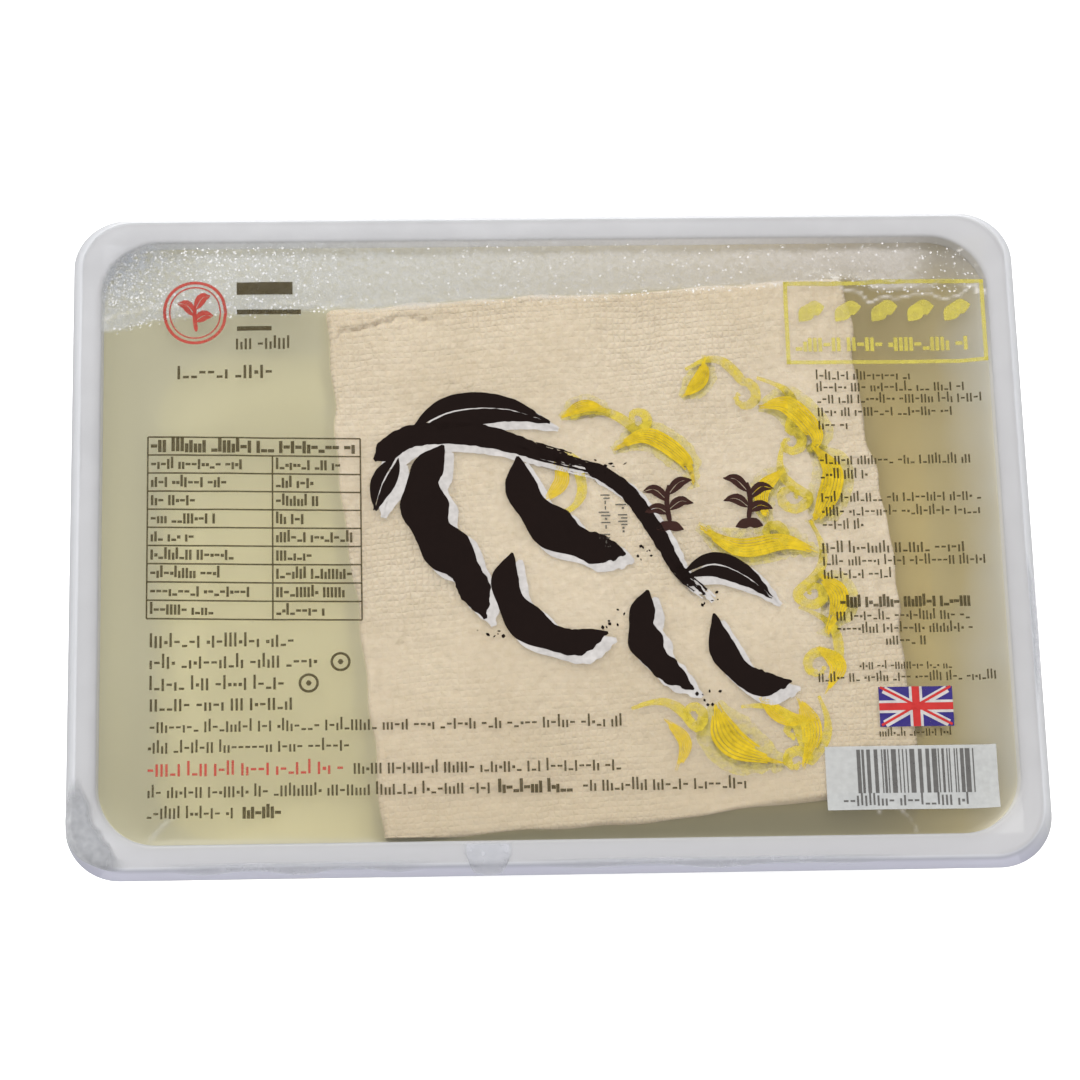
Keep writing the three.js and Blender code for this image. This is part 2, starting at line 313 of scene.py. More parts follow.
def linear(red, green, blue):
    """Linear colour of a screen colour from 0 to 255, by the sRGB curve."""
    share = np.array([red, green, blue]) / 255
    curve = np.where(share <= 0.04045, share / 12.92, ((share + 0.055) / 1.055) ** 2.4)
    return (*curve.tolist(), 1.0)


def use_group(tree, group, **settings):
    """Place a node group and set its inputs."""
    node = tree.nodes.new("ShaderNodeGroup")
    node.node_tree = group
    for label, value in settings.items():
        node.inputs[label].default_value = value
    return node.outputs[0]


def colour_ramp(tree, value, stops):
    """Colours that blend from stop to stop of a list of (position, colour)."""
    ramp = tree.nodes.new("ShaderNodeValToRGB")
    elements = ramp.color_ramp.elements
    for k, (position, colour) in enumerate(stops):
        element = elements[k] if k < 2 else elements.new(position)
        element.position, element.color = position, colour
    tree.links.new(value, ramp.inputs[0])
    return ramp.outputs[0]


def colour_between(tree, value, low, high, first, last):
    """A ramp of two stops: first below low, last above high."""
    return colour_ramp(tree, value, [(low, first), (high, last)])


def along_axis(tree, axis, start, end):
    """0 at start and 1 at end, in millimetres along an axis of the object."""
    apart = add_node(tree, "SeparateXYZ", [("Vector", add_node(tree, "TexCoord").outputs["Object"])])
    return add_node(tree, "MapRange", [("Value", apart.outputs[axis])],
                    From_Min=start * MM, From_Max=end * MM).outputs[0]


def mix_colours(tree, share, first, second):
    """First colour at share 0, second at share 1. Each is a colour or a socket."""
    mix = tree.nodes.new("ShaderNodeMix")
    mix.data_type = "RGBA"
    tree.links.new(share, mix.inputs[0])
    for socket, colour in ((mix.inputs[6], first), (mix.inputs[7], second)):
        if isinstance(colour, tuple):
            socket.default_value = colour
        else:
            tree.links.new(colour, socket)
    return mix.outputs[2]


def bump_from(tree, height, strength, distance):
    """Normal of a height."""
    bump = add_node(tree, "Bump", [("Height", height)], Strength=strength, Distance=distance)
    return bump.outputs["Normal"]


# %% [markdown]
# ## The tofu block
#
# Fresh tofu is pressed in a cloth and cut, so its top keeps the print of the weave, a fold of the
# cloth and small pits, and its sides are straight but soft. A sculpted cube would do, but a
# formula keeps the block true to its packed size: we lay a square grid over it, press the grid's
# corners round, map it to the four measured corners and add the relief.

# %% Outline of the block
BLOCK_CORNERS = np.array([[-33.4, -62.5], [69.5, -53.4], [59.6, 54.1], [-43.9, 48.4]])
BLOCK_HALF = np.array([51.8, 54.6])
BLOCK_ROUND = 1.4
EDGE_ROUND = 1.2
FOOT_ROUND = 3.0
FRONT_WALL_CLEAR = 1.0
BLOCK_TOP = 47.6
GRID_STEP = 0.45


def round_corners(x, y, half, radius):
    """Press a square grid's corners round.

    In a corner square a point keeps its direction from the corner's centre, and its distance
    becomes the larger of its two offsets.
    """
    over_x = np.maximum(np.abs(x) - (half[0] - radius), 0)
    over_y = np.maximum(np.abs(y) - (half[1] - radius), 0)
    far = np.maximum(np.hypot(over_x, over_y), 1e-9)
    squeeze = np.where(far > 1e-8, np.maximum(over_x, over_y) / far, 1)
    rounded_x = np.sign(x) * (np.minimum(np.abs(x), half[0] - radius) + over_x * squeeze)
    rounded_y = np.sign(y) * (np.minimum(np.abs(y), half[1] - radius) + over_y * squeeze)
    return rounded_x, rounded_y


def edge_distance(x, y, half, radius):
    """Distance of a point inside a rounded rectangle from its edge."""
    over_x = np.abs(x) - (half[0] - radius)
    over_y = np.abs(y) - (half[1] - radius)
    outside = np.hypot(np.maximum(over_x, 0), np.maximum(over_y, 0))
    return radius - outside - np.minimum(np.maximum(over_x, over_y), 0)


def block_plan(x, y):
    """Map the block's own square to its four corners: each corner counts by the share of the
    square's area that lies opposite to it."""
    s = (x / BLOCK_HALF[0] + 1) / 2
    t = (y / BLOCK_HALF[1] + 1) / 2
    shares = ((1 - s) * (1 - t), s * (1 - t), s * t, (1 - s) * t)
    place = sum(share[..., None] * corner for share, corner in zip(shares, BLOCK_CORNERS))
    return place[..., 0], place[..., 1]


# Tray sizes that the block and the water lean on.
SIDE_FLANGE, LONG_FLANGE = 5.8, 6.2
MOUTH_HALF = RIM_HALF - np.array([SIDE_FLANGE, LONG_FLANGE])
DRAFT = math.tan(math.radians(7))
LEDGE_TOP, LEDGE_DROP, LEDGE_WIDTH = 3.6, 1.4, 0.8
FLOOR, FOOT_FILLET = 1.0, 6.0


def wall_inset(z, outward=0.0):
    """How far the tray's inner wall stands in from the mouth at height z.

    It is the draft, the stacking ledge and the foot's quarter circle. outward moves the skin
    away from the inside, as for the outer wall.
    """
    depth = RIM_TOP - z
    ledge = smoothstep(depth, LEDGE_TOP, LEDGE_TOP + LEDGE_DROP) * LEDGE_WIDTH
    radius = FOOT_FILLET + outward
    rise = np.maximum(0, FLOOR + FOOT_FILLET - z)
    foot = radius - np.sqrt(np.maximum(0, radius ** 2 - rise ** 2))
    return depth * DRAFT + ledge + foot - outward


def side_wave(x, y, z):
    """Slow swelling of the block's sides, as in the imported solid."""
    return 0.35 * (np.sin(0.11 * x + 0.06 * z) * np.sin(0.09 * y - 0.08 * z + 1.2) - 0.4)


def side_bow(x, y):
    """How far the left and right sides bulge: one arch from the front to the back.

    The right side also has a dent near its back corner and a swelling behind its middle, each
    a bell curve.
    """
    arch = 0.8 * np.cos(np.pi * y / 110)
    right = 0.65 * np.exp(-((y + 6) / 14) ** 2) - 1.1 * np.exp(-((y - 26) / 12) ** 2)
    return arch + np.where(x > 0, right, 0)


def block_place(x, y, z):
    """Place of a point of the block's own square at height z, pushed clear of the front wall."""
    place_x, place_y = block_plan(x, y)
    edge = smoothstep(edge_distance(x, y, BLOCK_HALF, BLOCK_ROUND), 6, 0)
    away = edge * (side_wave(place_x, place_y, z) + 0.3 * ripples(place_x, place_y, 13, 5))
    place_x = place_x + (away + edge * side_bow(x, place_y)) * x / BLOCK_HALF[0]
    place_y = place_y + away * y / BLOCK_HALF[1]
    limit = FRONT_WALL_CLEAR - MOUTH_HALF[1] + wall_inset(z)
    return place_x, np.maximum(place_y, limit)


print("block corners", BLOCK_CORNERS.tolist())


# %% Relief of the block's top
CREASE = np.array([(-42.8, 39.5), (-41.7, 42.5), (-40.3, 43.8), (-36.0, 44.2), (-33.4, 45.0),
                   (-31.2, 45.7), (-29.1, 46.5), (-26.7, 46.6), (-24.6, 45.9), (-22.0, 46.4),
                   (-15.2, 46.8), (-9.2, 47.5), (-4.0, 47.8)])


def fold_relief(x, y):
    """The print of a fold in the cloth: a strip along the back edge that stands higher.

    The strip ends in a step along the crease, with a narrow groove in front of it, and both
    fade out towards the right. Ripples make the crease wander and the groove break off.
    """
    off = y - np.interp(x, *CREASE.T) + 0.22 * ripples(x, 0 * x, 1.9, 25)
    length = (smoothstep(x, -44, -42.2) * (1 - 0.7 * smoothstep(x, -25, -21))
              * (1 - smoothstep(x, -9, -4)))
    groove = np.clip(0.7 + 0.6 * ripples(x, 0 * x, 2.6, 26), 0, 1.5)
    return length * (0.3 * smoothstep(off, -0.3, 0.35)
                     - 0.42 * groove * np.exp(-((off + 0.5) / 0.4) ** 2))


def pit_relief(x, y, count=110, seed=8):
    """Small round pits: bell curves at random places, each 0.3 to 0.8 mm wide."""
    draw = np.random.default_rng(seed)
    total = np.zeros_like(x)
    for _ in range(count):
        centre = draw.uniform([-38, -52], [64, 50])
        width = draw.uniform(0.3, 0.7)
        near = (np.abs(x - centre[0]) < 2.5) & (np.abs(y - centre[1]) < 2.5)
        distance = np.hypot(x[near] - centre[0], y[near] - centre[1])
        total[near] -= draw.uniform(0.15, 0.4) * np.exp(-(distance / width) ** 2)
    return total


def top_relief(x, y):
    """Height of the block's top over its packed level, in millimetres."""
    dish = 0.45 * (0.6 * np.sin(0.075 * x + 0.5) * np.cos(0.068 * y - 0.3)
                   + 0.4 * np.sin(0.16 * x - 0.11 * y))
    puckers = 0.07 * ripples(x, y, 7.5, 21) + 0.045 * ripples(x, y, 2.4, 22)
    return dish + puckers + fold_relief(x, y) + pit_relief(x, y)


# %% Build the block
def edge_steps(half):
    """Grid lines across the block: close together over its rounded edge, even between."""
    turn = np.radians(np.linspace(0, 90, 6))
    edge = half - EDGE_ROUND * (1 - np.cos(turn))
    inner = edge[-1]
    count = int(2 * inner / GRID_STEP)
    return np.concatenate([-edge[:-1], np.linspace(-inner, inner, count), edge[:-1][::-1]])


def border(rows, columns):
    """Numbers of a grid's edge points, anticlockwise from its front left corner."""
    grid = np.arange(rows * columns).reshape(rows, columns)
    return np.concatenate([grid[:-1, 0], grid[-1, :-1], grid[:0:-1, -1], grid[0, :0:-1]])


def grid_quads(rows, columns):
    """Quads of a grid, facing up where its rows run along X and its columns along Y."""
    grid = np.arange(rows * columns).reshape(rows, columns)
    quads = np.stack([grid[:-1, :-1], grid[1:, :-1], grid[1:, 1:], grid[:-1, 1:]], -1)
    return quads.reshape(-1, 4).tolist()


def build_block():
    """Top grid, side rings from its border down to the foot, and a fan underneath."""
    xs, ys = edge_steps(BLOCK_HALF[0]), edge_steps(BLOCK_HALF[1])
    square_x, square_y = round_corners(*np.meshgrid(xs, ys, indexing="ij"), BLOCK_HALF, BLOCK_ROUND)
    inside = edge_distance(square_x, square_y, BLOCK_HALF, BLOCK_ROUND)
    slope = np.clip(EDGE_ROUND - inside, 0, EDGE_ROUND)
    z = BLOCK_TOP - EDGE_ROUND + np.sqrt(EDGE_ROUND ** 2 - slope ** 2)
    x, y = block_place(square_x, square_y, z)
    z = z + top_relief(x, y) * smoothstep(inside, 0, 1.5)
    top = np.stack([x, y, z], -1).reshape(-1, 3)

    rim = border(len(xs), len(ys))
    rim_x, rim_y = square_x.reshape(-1)[rim], square_y.reshape(-1)[rim]
    heights = np.linspace(BLOCK_TOP - EDGE_ROUND, BLOCK_LOW + FOOT_ROUND, 30)[1:]
    turn = np.radians(np.linspace(0, 90, 7))[1:]
    rings = [(height, 0.0) for height in heights]
    rings += [(BLOCK_LOW + FOOT_ROUND * (1 - s), FOOT_ROUND * (1 - c))
              for s, c in zip(np.sin(turn), np.cos(turn))]
    side = []
    for height, inset in rings:
        shrink = 1 - inset / BLOCK_HALF.mean()
        ring_x, ring_y = block_place(rim_x * shrink, rim_y * shrink, height)
        roughness = 0.06 * ripples(ring_x + ring_y, np.full_like(ring_x, height), 5, 31)
        outward = np.stack([rim_x, rim_y], -1) / np.hypot(rim_x, rim_y)[:, None]
        ring = np.stack([ring_x, ring_y], -1) + outward * roughness[:, None]
        side.append(np.column_stack([ring, np.full(len(rim), height)]))
    centre = np.append(side[-1][:, :2].mean(0), BLOCK_LOW)
    points = np.concatenate([top, *side, centre[None]])

    rows = [rim] + [len(top) + k * len(rim) + np.arange(len(rim)) for k in range(len(side))]
    faces = grid_quads(len(xs), len(ys))
    for upper, lower in zip(rows, rows[1:]):
        faces += np.stack([lower, np.roll(lower, -1), np.roll(upper, -1), upper], -1).tolist()
    faces += fan(rows[-1], len(points) - 1, upwards=False)
    return points, faces


def tofu_material():
    """Moist cream curd: a soft inner glow, a mottle of two creams that is duller to the front,
    and the print of the cloth."""
    material, tree, shader = new_material("tofu", Roughness=0.46, Specular_IOR_Level=0.35,
                                          Subsurface_Weight=0.2, Subsurface_Scale=0.002)
    shader.inputs["Subsurface Radius"].default_value = (1.0, 0.75, 0.45)
    mottle = use_group(tree, MOTTLE, Scale=70.0, Fineness=9.0)
    colour = colour_between(tree, mottle, 0.35, 0.65, linear(200, 185, 158), linear(214, 200, 175))
    to_front = times(tree, along_axis(tree, "Y", -12, -58), 0.65)
    colour = mix_colours(tree, to_front, colour, linear(190, 174, 144))
    tree.links.new(colour, shader.inputs["Base Color"])
    print_of_cloth = use_group(tree, CLOTH, Threads=830.0, Turn=-0.075, Wear=0.8)
    tree.links.new(bump_from(tree, print_of_cloth, 1.0, 0.0005), shader.inputs["Normal"])
    return material


new_piece("tofu_curd", *build_block(), "tofu", tofu_material(), replaced="tofu_block")

# %% [markdown]
# ## The soaking water
#
# Tofu is packed in water, which turns yellowish and cloudy. Its surface climbs a little where it
# meets the plastic and the curd. We need one closed body with a hole for the block: the wall's
# ring and the block's ring are matched point by point along rays from the block's middle, and
# every ring of the body lies between these two. It reaches just into wall and block, so that no
# gap of air shows through the plastic.

# %% Rings of the wall and of the block
REACH = 0.25              # how far the water reaches into what it touches
MOUTH_CORNER, FOOT_CORNER = 11.5, 14.0


def perimeter(arc_steps, side_steps):
    """Signs and normals of the points round a rounded rectangle, anticlockwise.

    A point is sign * (half size - radius) + normal * radius. Along a corner the normal turns
    through 90 degrees while the sign stays, and along a side the sign runs from one corner to
    the next while the normal stays.
    """
    corners = np.array([[1, -1], [1, 1], [-1, 1], [-1, -1]])
    signs, normals = [], []
    for k, sign in enumerate(corners):
        angle = math.radians(90 * k - 90) + np.linspace(0, math.pi / 2, arc_steps + 1)
        normal = np.stack([np.cos(angle), np.sin(angle)], -1)
        share = np.arange(1, side_steps)[:, None] / side_steps
        signs += [np.tile(sign, (arc_steps + 1, 1)), sign + (corners[(k + 1) % 4] - sign) * share]
        normals += [normal, np.tile(normal[-1], (side_steps - 1, 1))]
    return np.concatenate(signs), np.concatenate(normals)


OUTLINE = perimeter(18, 44)


def corner_radius(z):
    """Radius of the wall's corners: it slides from the foot's to the mouth's."""
    return FOOT_CORNER + (MOUTH_CORNER - FOOT_CORNER) * z / RIM_TOP


def wall_plan(z, outward=0.0):
    """Plan of the tray's wall at height z."""
    signs, normals = OUTLINE
    radius = corner_radius(z) + outward / 2
    return signs * (MOUTH_HALF - wall_inset(z, outward) - radius) + normals * radius


def block_ring(z, towards):
    """Points of the block's outline at height z, on the rays from its middle to each point of
    towards: the outline's distance is read off at the angle of each ray."""
    signs, normals = perimeter(8, 60)
    square = signs * (BLOCK_HALF - BLOCK_ROUND) + normals * BLOCK_ROUND
    ring = np.stack(block_place(square[:, 0], square[:, 1], np.full(len(square), z)), -1)
    middle = BLOCK_CORNERS.mean(0)
    angles = np.arctan2(*(ring - middle).T[::-1])
    order = np.argsort(angles)
    reach = np.hypot(*(ring - middle).T)[order]
    asked = np.arctan2(*(towards - middle).T[::-1])
    distance = np.interp(asked, angles[order], reach, period=2 * np.pi) - REACH
    return middle + distance[:, None] * np.stack([np.cos(asked), np.sin(asked)], -1)


# %% Build the water
CLIMB, CLIMB_WIDTH = 0.55, 1.3        # how high and how far the surface climbs at plastic and curd
OVER_FLOOR, LEVEL_DROP, HOLE_DROP = 0.9, 0.35, 1.4    # underside, open surface, edge of the hole


def build_water():
    """Rings up the wall, in over the surface, down the block and out under the body."""
    low = FLOOR + OVER_FLOOR
    foot_shares = np.array([0, 0.05, 0.14, 0.28, 0.48, 0.72, 1])
    heights = np.concatenate([low + (FOOT_FILLET - OVER_FLOOR) * foot_shares,
                              np.linspace(FLOOR + FOOT_FILLET, WATER_TOP, 9)[1:]])
    wall = [np.column_stack([wall_plan(z, REACH), np.full(len(OUTLINE[0]), z)]) for z in heights]
    outer = wall[-1][:, :2]
    inner = block_ring(WATER_TOP - HOLE_DROP, outer)
    surface = []
    for share in np.concatenate([[0], np.linspace(0.02, 0.98, 15), [1]]):
        plan = outer + (inner - outer) * share
        to_wall = np.hypot(*(plan - outer).T)
        to_block = np.hypot(*(plan - inner).T)
        climb = CLIMB * (np.exp(-to_wall / CLIMB_WIDTH) + np.exp(-to_block / CLIMB_WIDTH))
        swell = 0.03 * ripples(plan[:, 0], plan[:, 1], 30, 41)
        surface.append(np.column_stack([plan, WATER_TOP - LEVEL_DROP + climb + swell]))
    inside = [np.column_stack([block_ring(z, outer), np.full(len(outer), z)])
              for z in np.linspace(WATER_TOP - HOLE_DROP, low, 8)]
    rings = np.array(wall[:-1] + surface + inside)
    return rings.reshape(-1, 3), ring_quads(len(rings), rings.shape[1], closed=True)


def lets_light_through(tree, shader, tint, scattered=None):
    """Let lamps shine through a clear body: a ray that looks for a lamp meets a Transparent
    shader of the tint, and any other ray meets the body's own shader.

    With a tint for scattered light, a ray that left a dull surface passes in the same way. It
    stands for what the body's two faces mirror away, and saves the time to work that out.
    """
    path = tree.nodes.new("ShaderNodeLightPath")
    for kind, colour in (("Is Diffuse Ray", scattered), ("Is Shadow Ray", tint)):
        if colour:
            clear = add_node(tree, "BsdfTransparent", Color=colour)
            mix = tree.nodes.new("ShaderNodeMixShader")
            tree.links.new(path.outputs[kind], mix.inputs[0])
            tree.links.new(shader.outputs[0], mix.inputs[1])
            tree.links.new(clear.outputs[0], mix.inputs[2])
            shader = mix
    tree.links.new(shader.outputs[0], tree.nodes["Material Output"].inputs["Surface"])


# The darker, browner tones from 0.72 to 0.85 are painted shade beside the block, and the lighter ones
# towards 1.0 are painted light at the right wall.
WATER_TONES_AND_SHADE = [    # share of the way from the left to the right wall, colour
    (0.0, linear(243, 238, 199)), (0.35, linear(232, 225, 186)), (0.72, linear(218, 202, 148)),
    (0.85, linear(206, 187, 126)), (0.93, linear(224, 206, 146)), (1.0, linear(242, 239, 222)),
]


def water_material():
    """Cloudy water: part of the light goes through and is tinted on the way, part is scattered
    near the surface. The tone changes from the left to the right, with painted shade beside the
    block and painted light at the right wall, and slow clouds bend it. Painted shade makes it dusky
    in the narrow gap in front of the block and in the back right corner, and a little duller at the
    left front."""
    material, tree, shader = new_material("soaking_water", Roughness=0.3, IOR=1.333,
                                          Transmission_Weight=0.6)
    mottle = use_group(tree, MOTTLE, Scale=22.0, Fineness=3.0)
    drift = times(tree, math_node(tree, "SUBTRACT", mottle, 0.5), 0.12)
    across = math_node(tree, "ADD", along_axis(tree, "X", -90, 90), drift)
    colour = colour_ramp(tree, across, WATER_TONES_AND_SHADE)
    # Painted shade: the water is dusky in the narrow gap in front of the block, a little duller at the
    # left front, and duskier in the back right corner.
    gap = times(tree, along_axis(tree, "Y", -50, -57), along_axis(tree, "X", -40, -20),
                along_axis(tree, "X", 84, 56))
    left_front_shade = times(tree, along_axis(tree, "Y", -25, -60), 0.3)
    back_right_shade = times(tree, along_axis(tree, "Y", 50, 58), along_axis(tree, "X", 36, 76), 0.7)
    for share, tone in ((gap, (158, 150, 111)), (left_front_shade, (196, 188, 148)),
                        (back_right_shade, (172, 165, 146))):
        colour = mix_colours(tree, share, colour, linear(*tone))
    tree.links.new(colour, shader.inputs["Base Color"])
    lets_light_through(tree, shader, (0.97, 0.955, 0.87, 1))
    depth = add_node(tree, "VolumeAbsorption", Color=linear(226, 216, 165), Density=8.0)
    tree.links.new(depth.outputs[0], tree.nodes["Material Output"].inputs["Volume"])
    return material


new_piece("soaking_liquid", *build_water(), "soaking_water", water_material(), replaced="water")

# %% [markdown]
# ## The tray
#
# The tray is pressed from one sheet of natural plastic, so it has the same wall everywhere, round
# edges and a turned-down lip. It is a profile carried round a rounded rectangle. We write the
# profile as one list of stations, from the middle of the underside, over the rim, to the middle
# of the floor, and give each station its inset, height and corner radius.

# %% Profile of the tray
RIM_CORNER = 10.5
WALL = 0.9
LIP_OUT, LIP_DROP, RIM_THICK = 1.6, 3.2, 1.0
PANEL_RISE, RING_WIDTH, PANEL_SLOPE = 0.8, 6.5, 2.0
PANEL_CORNER = 8.0


def arc(centre, radius, start, end, count):
    """Stations (inset, z) on a circle, angles in degrees, 0 towards the rim's outside."""
    turn = np.radians(np.linspace(start, end, count))
    return np.stack([centre[0] - radius * np.cos(turn), centre[1] + radius * np.sin(turn)], -1)


def wall_stations(bottom, top, outward, count):
    """Stations up the wall: close together round the foot fillet, even above it."""
    foot_top = FLOOR + FOOT_FILLET
    foot = foot_top - (foot_top - bottom) * np.cos(np.radians(np.linspace(0, 90, 12)))
    z = np.concatenate([foot, np.linspace(foot_top, top, count)[1:]])
    return np.stack([wall_inset(z, outward), z], -1)


def tray_profile():
    """Half sizes, corner radius and height of each ring.

    Stations are (inset, z), measured from the mouth for wall and floor, and from the rim's
    outer edge for rim and lip. The corner radius slides between the radii of mouth, foot and rim.
    """
    foot = float(wall_inset(FLOOR))
    ring = foot + RING_WIDTH
    panel = [(ring + PANEL_SLOPE, PANEL_RISE), (ring + 1.4, PANEL_RISE * 0.9),
             (ring + 0.5, 0.12), (ring, 0)]
    inner_panel = [(inset, z + FLOOR) for inset, z in reversed(panel)]
    under_rim = RIM_TOP - RIM_THICK
    outside = wall_stations(0, under_rim - 0.8, WALL, 26)
    outside[:12, 0] = wall_inset(outside[:12, 1], FLOOR)
    inside = wall_stations(FLOOR, RIM_TOP - 0.6, 0.0, 26)[::-1]
    throat = [(-WALL - 0.25, under_rim - 0.25), (-WALL - 0.9, under_rim)]
    mouth = [(-0.75, RIM_TOP), (-0.4, RIM_TOP - 0.04),
             (-0.15, RIM_TOP - 0.16), (-0.02, RIM_TOP - 0.36)]
    lip = np.concatenate([
        [(LIP_OUT + 1.7, under_rim), (LIP_OUT + 0.7, under_rim - 0.1),
         (LIP_OUT + 0.25, under_rim - 0.4)],
        arc((0.45, RIM_TOP - LIP_DROP + 0.45), 0.45, 200, 360, 9),
        arc((LIP_OUT + 0.55, RIM_TOP - 0.85), 0.85, 25, 90, 7),
    ])
    rows = []
    for stations, half, radius in ((panel, MOUTH_HALF, PANEL_CORNER), (outside, MOUTH_HALF, None),
                                   (throat, MOUTH_HALF, None), (lip, RIM_HALF, RIM_CORNER),
                                   (mouth, MOUTH_HALF, None), (inside, MOUTH_HALF, None),
                                   (inner_panel, MOUTH_HALF, PANEL_CORNER)):
        inset, z = np.asarray(stations, dtype=float).T
        radii = corner_radius(z) if radius is None else np.full(len(z), radius)
        rows.append(np.column_stack([half - inset[:, None], radii, z]))
    return np.concatenate(rows)


def build_tray():
    """Rings of the profile, with a fan over the middle of the underside and of the floor."""
    signs, normals = OUTLINE
    profile = tray_profile()
    radius = profile[:, None, 2:3]
    plan = signs * (profile[:, None, :2] - radius) + normals * radius
    z = np.broadcast_to(profile[:, None, 3:], plan.shape[:2] + (1,))
    rings = np.concatenate([plan, z], -1)
    points = rings.reshape(-1, 3)
    count = rings.shape[1]
    centres = np.array([[0, 0, profile[0, 3]], [0, 0, profile[-1, 3]]])
    faces = ring_quads(len(rings), count)
    faces += fan(np.arange(count), len(points), upwards=False)
    faces += fan(np.arange(len(points) - count, len(points)), len(points) + 1, upwards=True)
    return np.concatenate([points, centres]), faces


def dry_wall(tree):
    """1 on the wall's inner face above the water, 0 elsewhere: the point lies between water and
    rim and nearer to the middle than the mouth's edge."""
    apart = add_node(tree, "SeparateXYZ", [("Vector", add_node(tree, "TexCoord").outputs["Object"])])
    share = math_node(tree, "MINIMUM", along_axis(tree, "Z", RIM_TOP - 0.1, RIM_TOP - 0.6),
                      along_axis(tree, "Z", WATER_TOP - 1.5, WATER_TOP - 0.5))
    for axis, half in zip("XY", MOUTH_HALF):
        off = math_node(tree, "ABSOLUTE", apart.outputs[axis], 0.0)
        inside = add_node(tree, "MapRange", [("Value", off)], From_Min=(half + 0.1) * MM,
                          From_Max=(half - 0.1) * MM)
        share = math_node(tree, "MINIMUM", share, inside.outputs[0])
    return share


def tray_material():
    """Natural polypropylene: milky, half see-through, with a soft sheen and faint flow marks.

    The turned-down lip carries painted shade by its height: dusky at its cut edge and bluish above
    it in front, and grey elsewhere, up over its rounded top. The flange has painted light, lighter
    towards the front and the right. The wall's inner face above the water has painted light, most
    of all at the right, and painted shade in the back right corner.
    """
    material, tree, shader = new_material("milky_plastic", Roughness=0.36, IOR=1.49,
                                          Transmission_Weight=0.3)
    mottle = use_group(tree, MOTTLE, Scale=30.0, Fineness=5.0)
    flange = colour_between(tree, mottle, 0.3, 0.7, linear(197, 198, 201), linear(209, 210, 213))
    # Painted light: the flange is lighter towards the front and the right.
    towards_front = along_axis(tree, "Y", -50, -62)
    towards_right = times(tree, along_axis(tree, "X", 78, 88), 0.2)
    paler = math_node(tree, "MAXIMUM", towards_front, towards_right)
    flange = mix_colours(tree, paler, flange, linear(210, 211, 214))
    # Painted shade: the lip is darker than the flange, dusky at its cut edge and bluish in front, and
    # its rounded top takes the lip's darker tone.
    up_lip = along_axis(tree, "Z", RIM_TOP - LIP_DROP, RIM_TOP)
    front_lip_shade = colour_ramp(tree, up_lip, [
        (0.05, linear(112, 113, 124)), (0.2, linear(170, 170, 186)),
        (0.62, linear(178, 178, 192)), (0.8, linear(160, 161, 172))])
    side_lip_shade = colour_ramp(tree, up_lip, [(0.3, linear(157, 158, 162)), (0.85, linear(176, 177, 181))])
    at_front = along_axis(tree, "Y", 8 - RIM_HALF[1], 1.5 - RIM_HALF[1])
    lip = mix_colours(tree, at_front, side_lip_shade, front_lip_shade)
    on_top = add_node(tree, "MapRange", [("Value", up_lip)], From_Min=0.82, From_Max=0.99)
    colour = mix_colours(tree, on_top.outputs[0], lip, flange)
    # Painted light on the wall's inner face above the water, lightest at the right, and painted shade
    # in the back right corner.
    dry = colour_between(tree, along_axis(tree, "X", 80, 86), 0, 1,
                         linear(218, 220, 225), linear(238, 238, 236))
    back_right_shade = times(tree, along_axis(tree, "X", 40, 84), along_axis(tree, "Y", 36, 56))
    dry = mix_colours(tree, back_right_shade, dry, linear(184, 182, 174))
    colour = mix_colours(tree, dry_wall(tree), colour, dry)
    tree.links.new(colour, shader.inputs["Base Color"])
    tree.links.new(bump_from(tree, mottle, 0.15, 0.0004), shader.inputs["Normal"])
    lets_light_through(tree, shader, (0.75, 0.75, 0.75, 1))
    return material


new_piece("tray_shell", *build_tray(), "milky_plastic", tray_material(), replaced="tray")

# %% [markdown]
# ## The lidding film
#
# The film is pulled over the rim hot and welded there. Inside the rim it goes slack as it cools,
# so it sags towards the water, is lifted by the trapped air along the back, and is puckered where
# the two meet. One height formula serves the film, the dew under it and the print on it, so all
# three stay together whatever we change.

# %% Creases in the film
FILM_INSET = 1.9
FILM_THICK = 0.08
FILM_SAG, POCKET_LIFT = 1.15, 0.7
FILM_STEPS = ((-64.0, 0.8), (-50.0, 1.4), (40.0, 0.5))   # grid step along Y, from each place on
FILM_STEP_X = 0.74

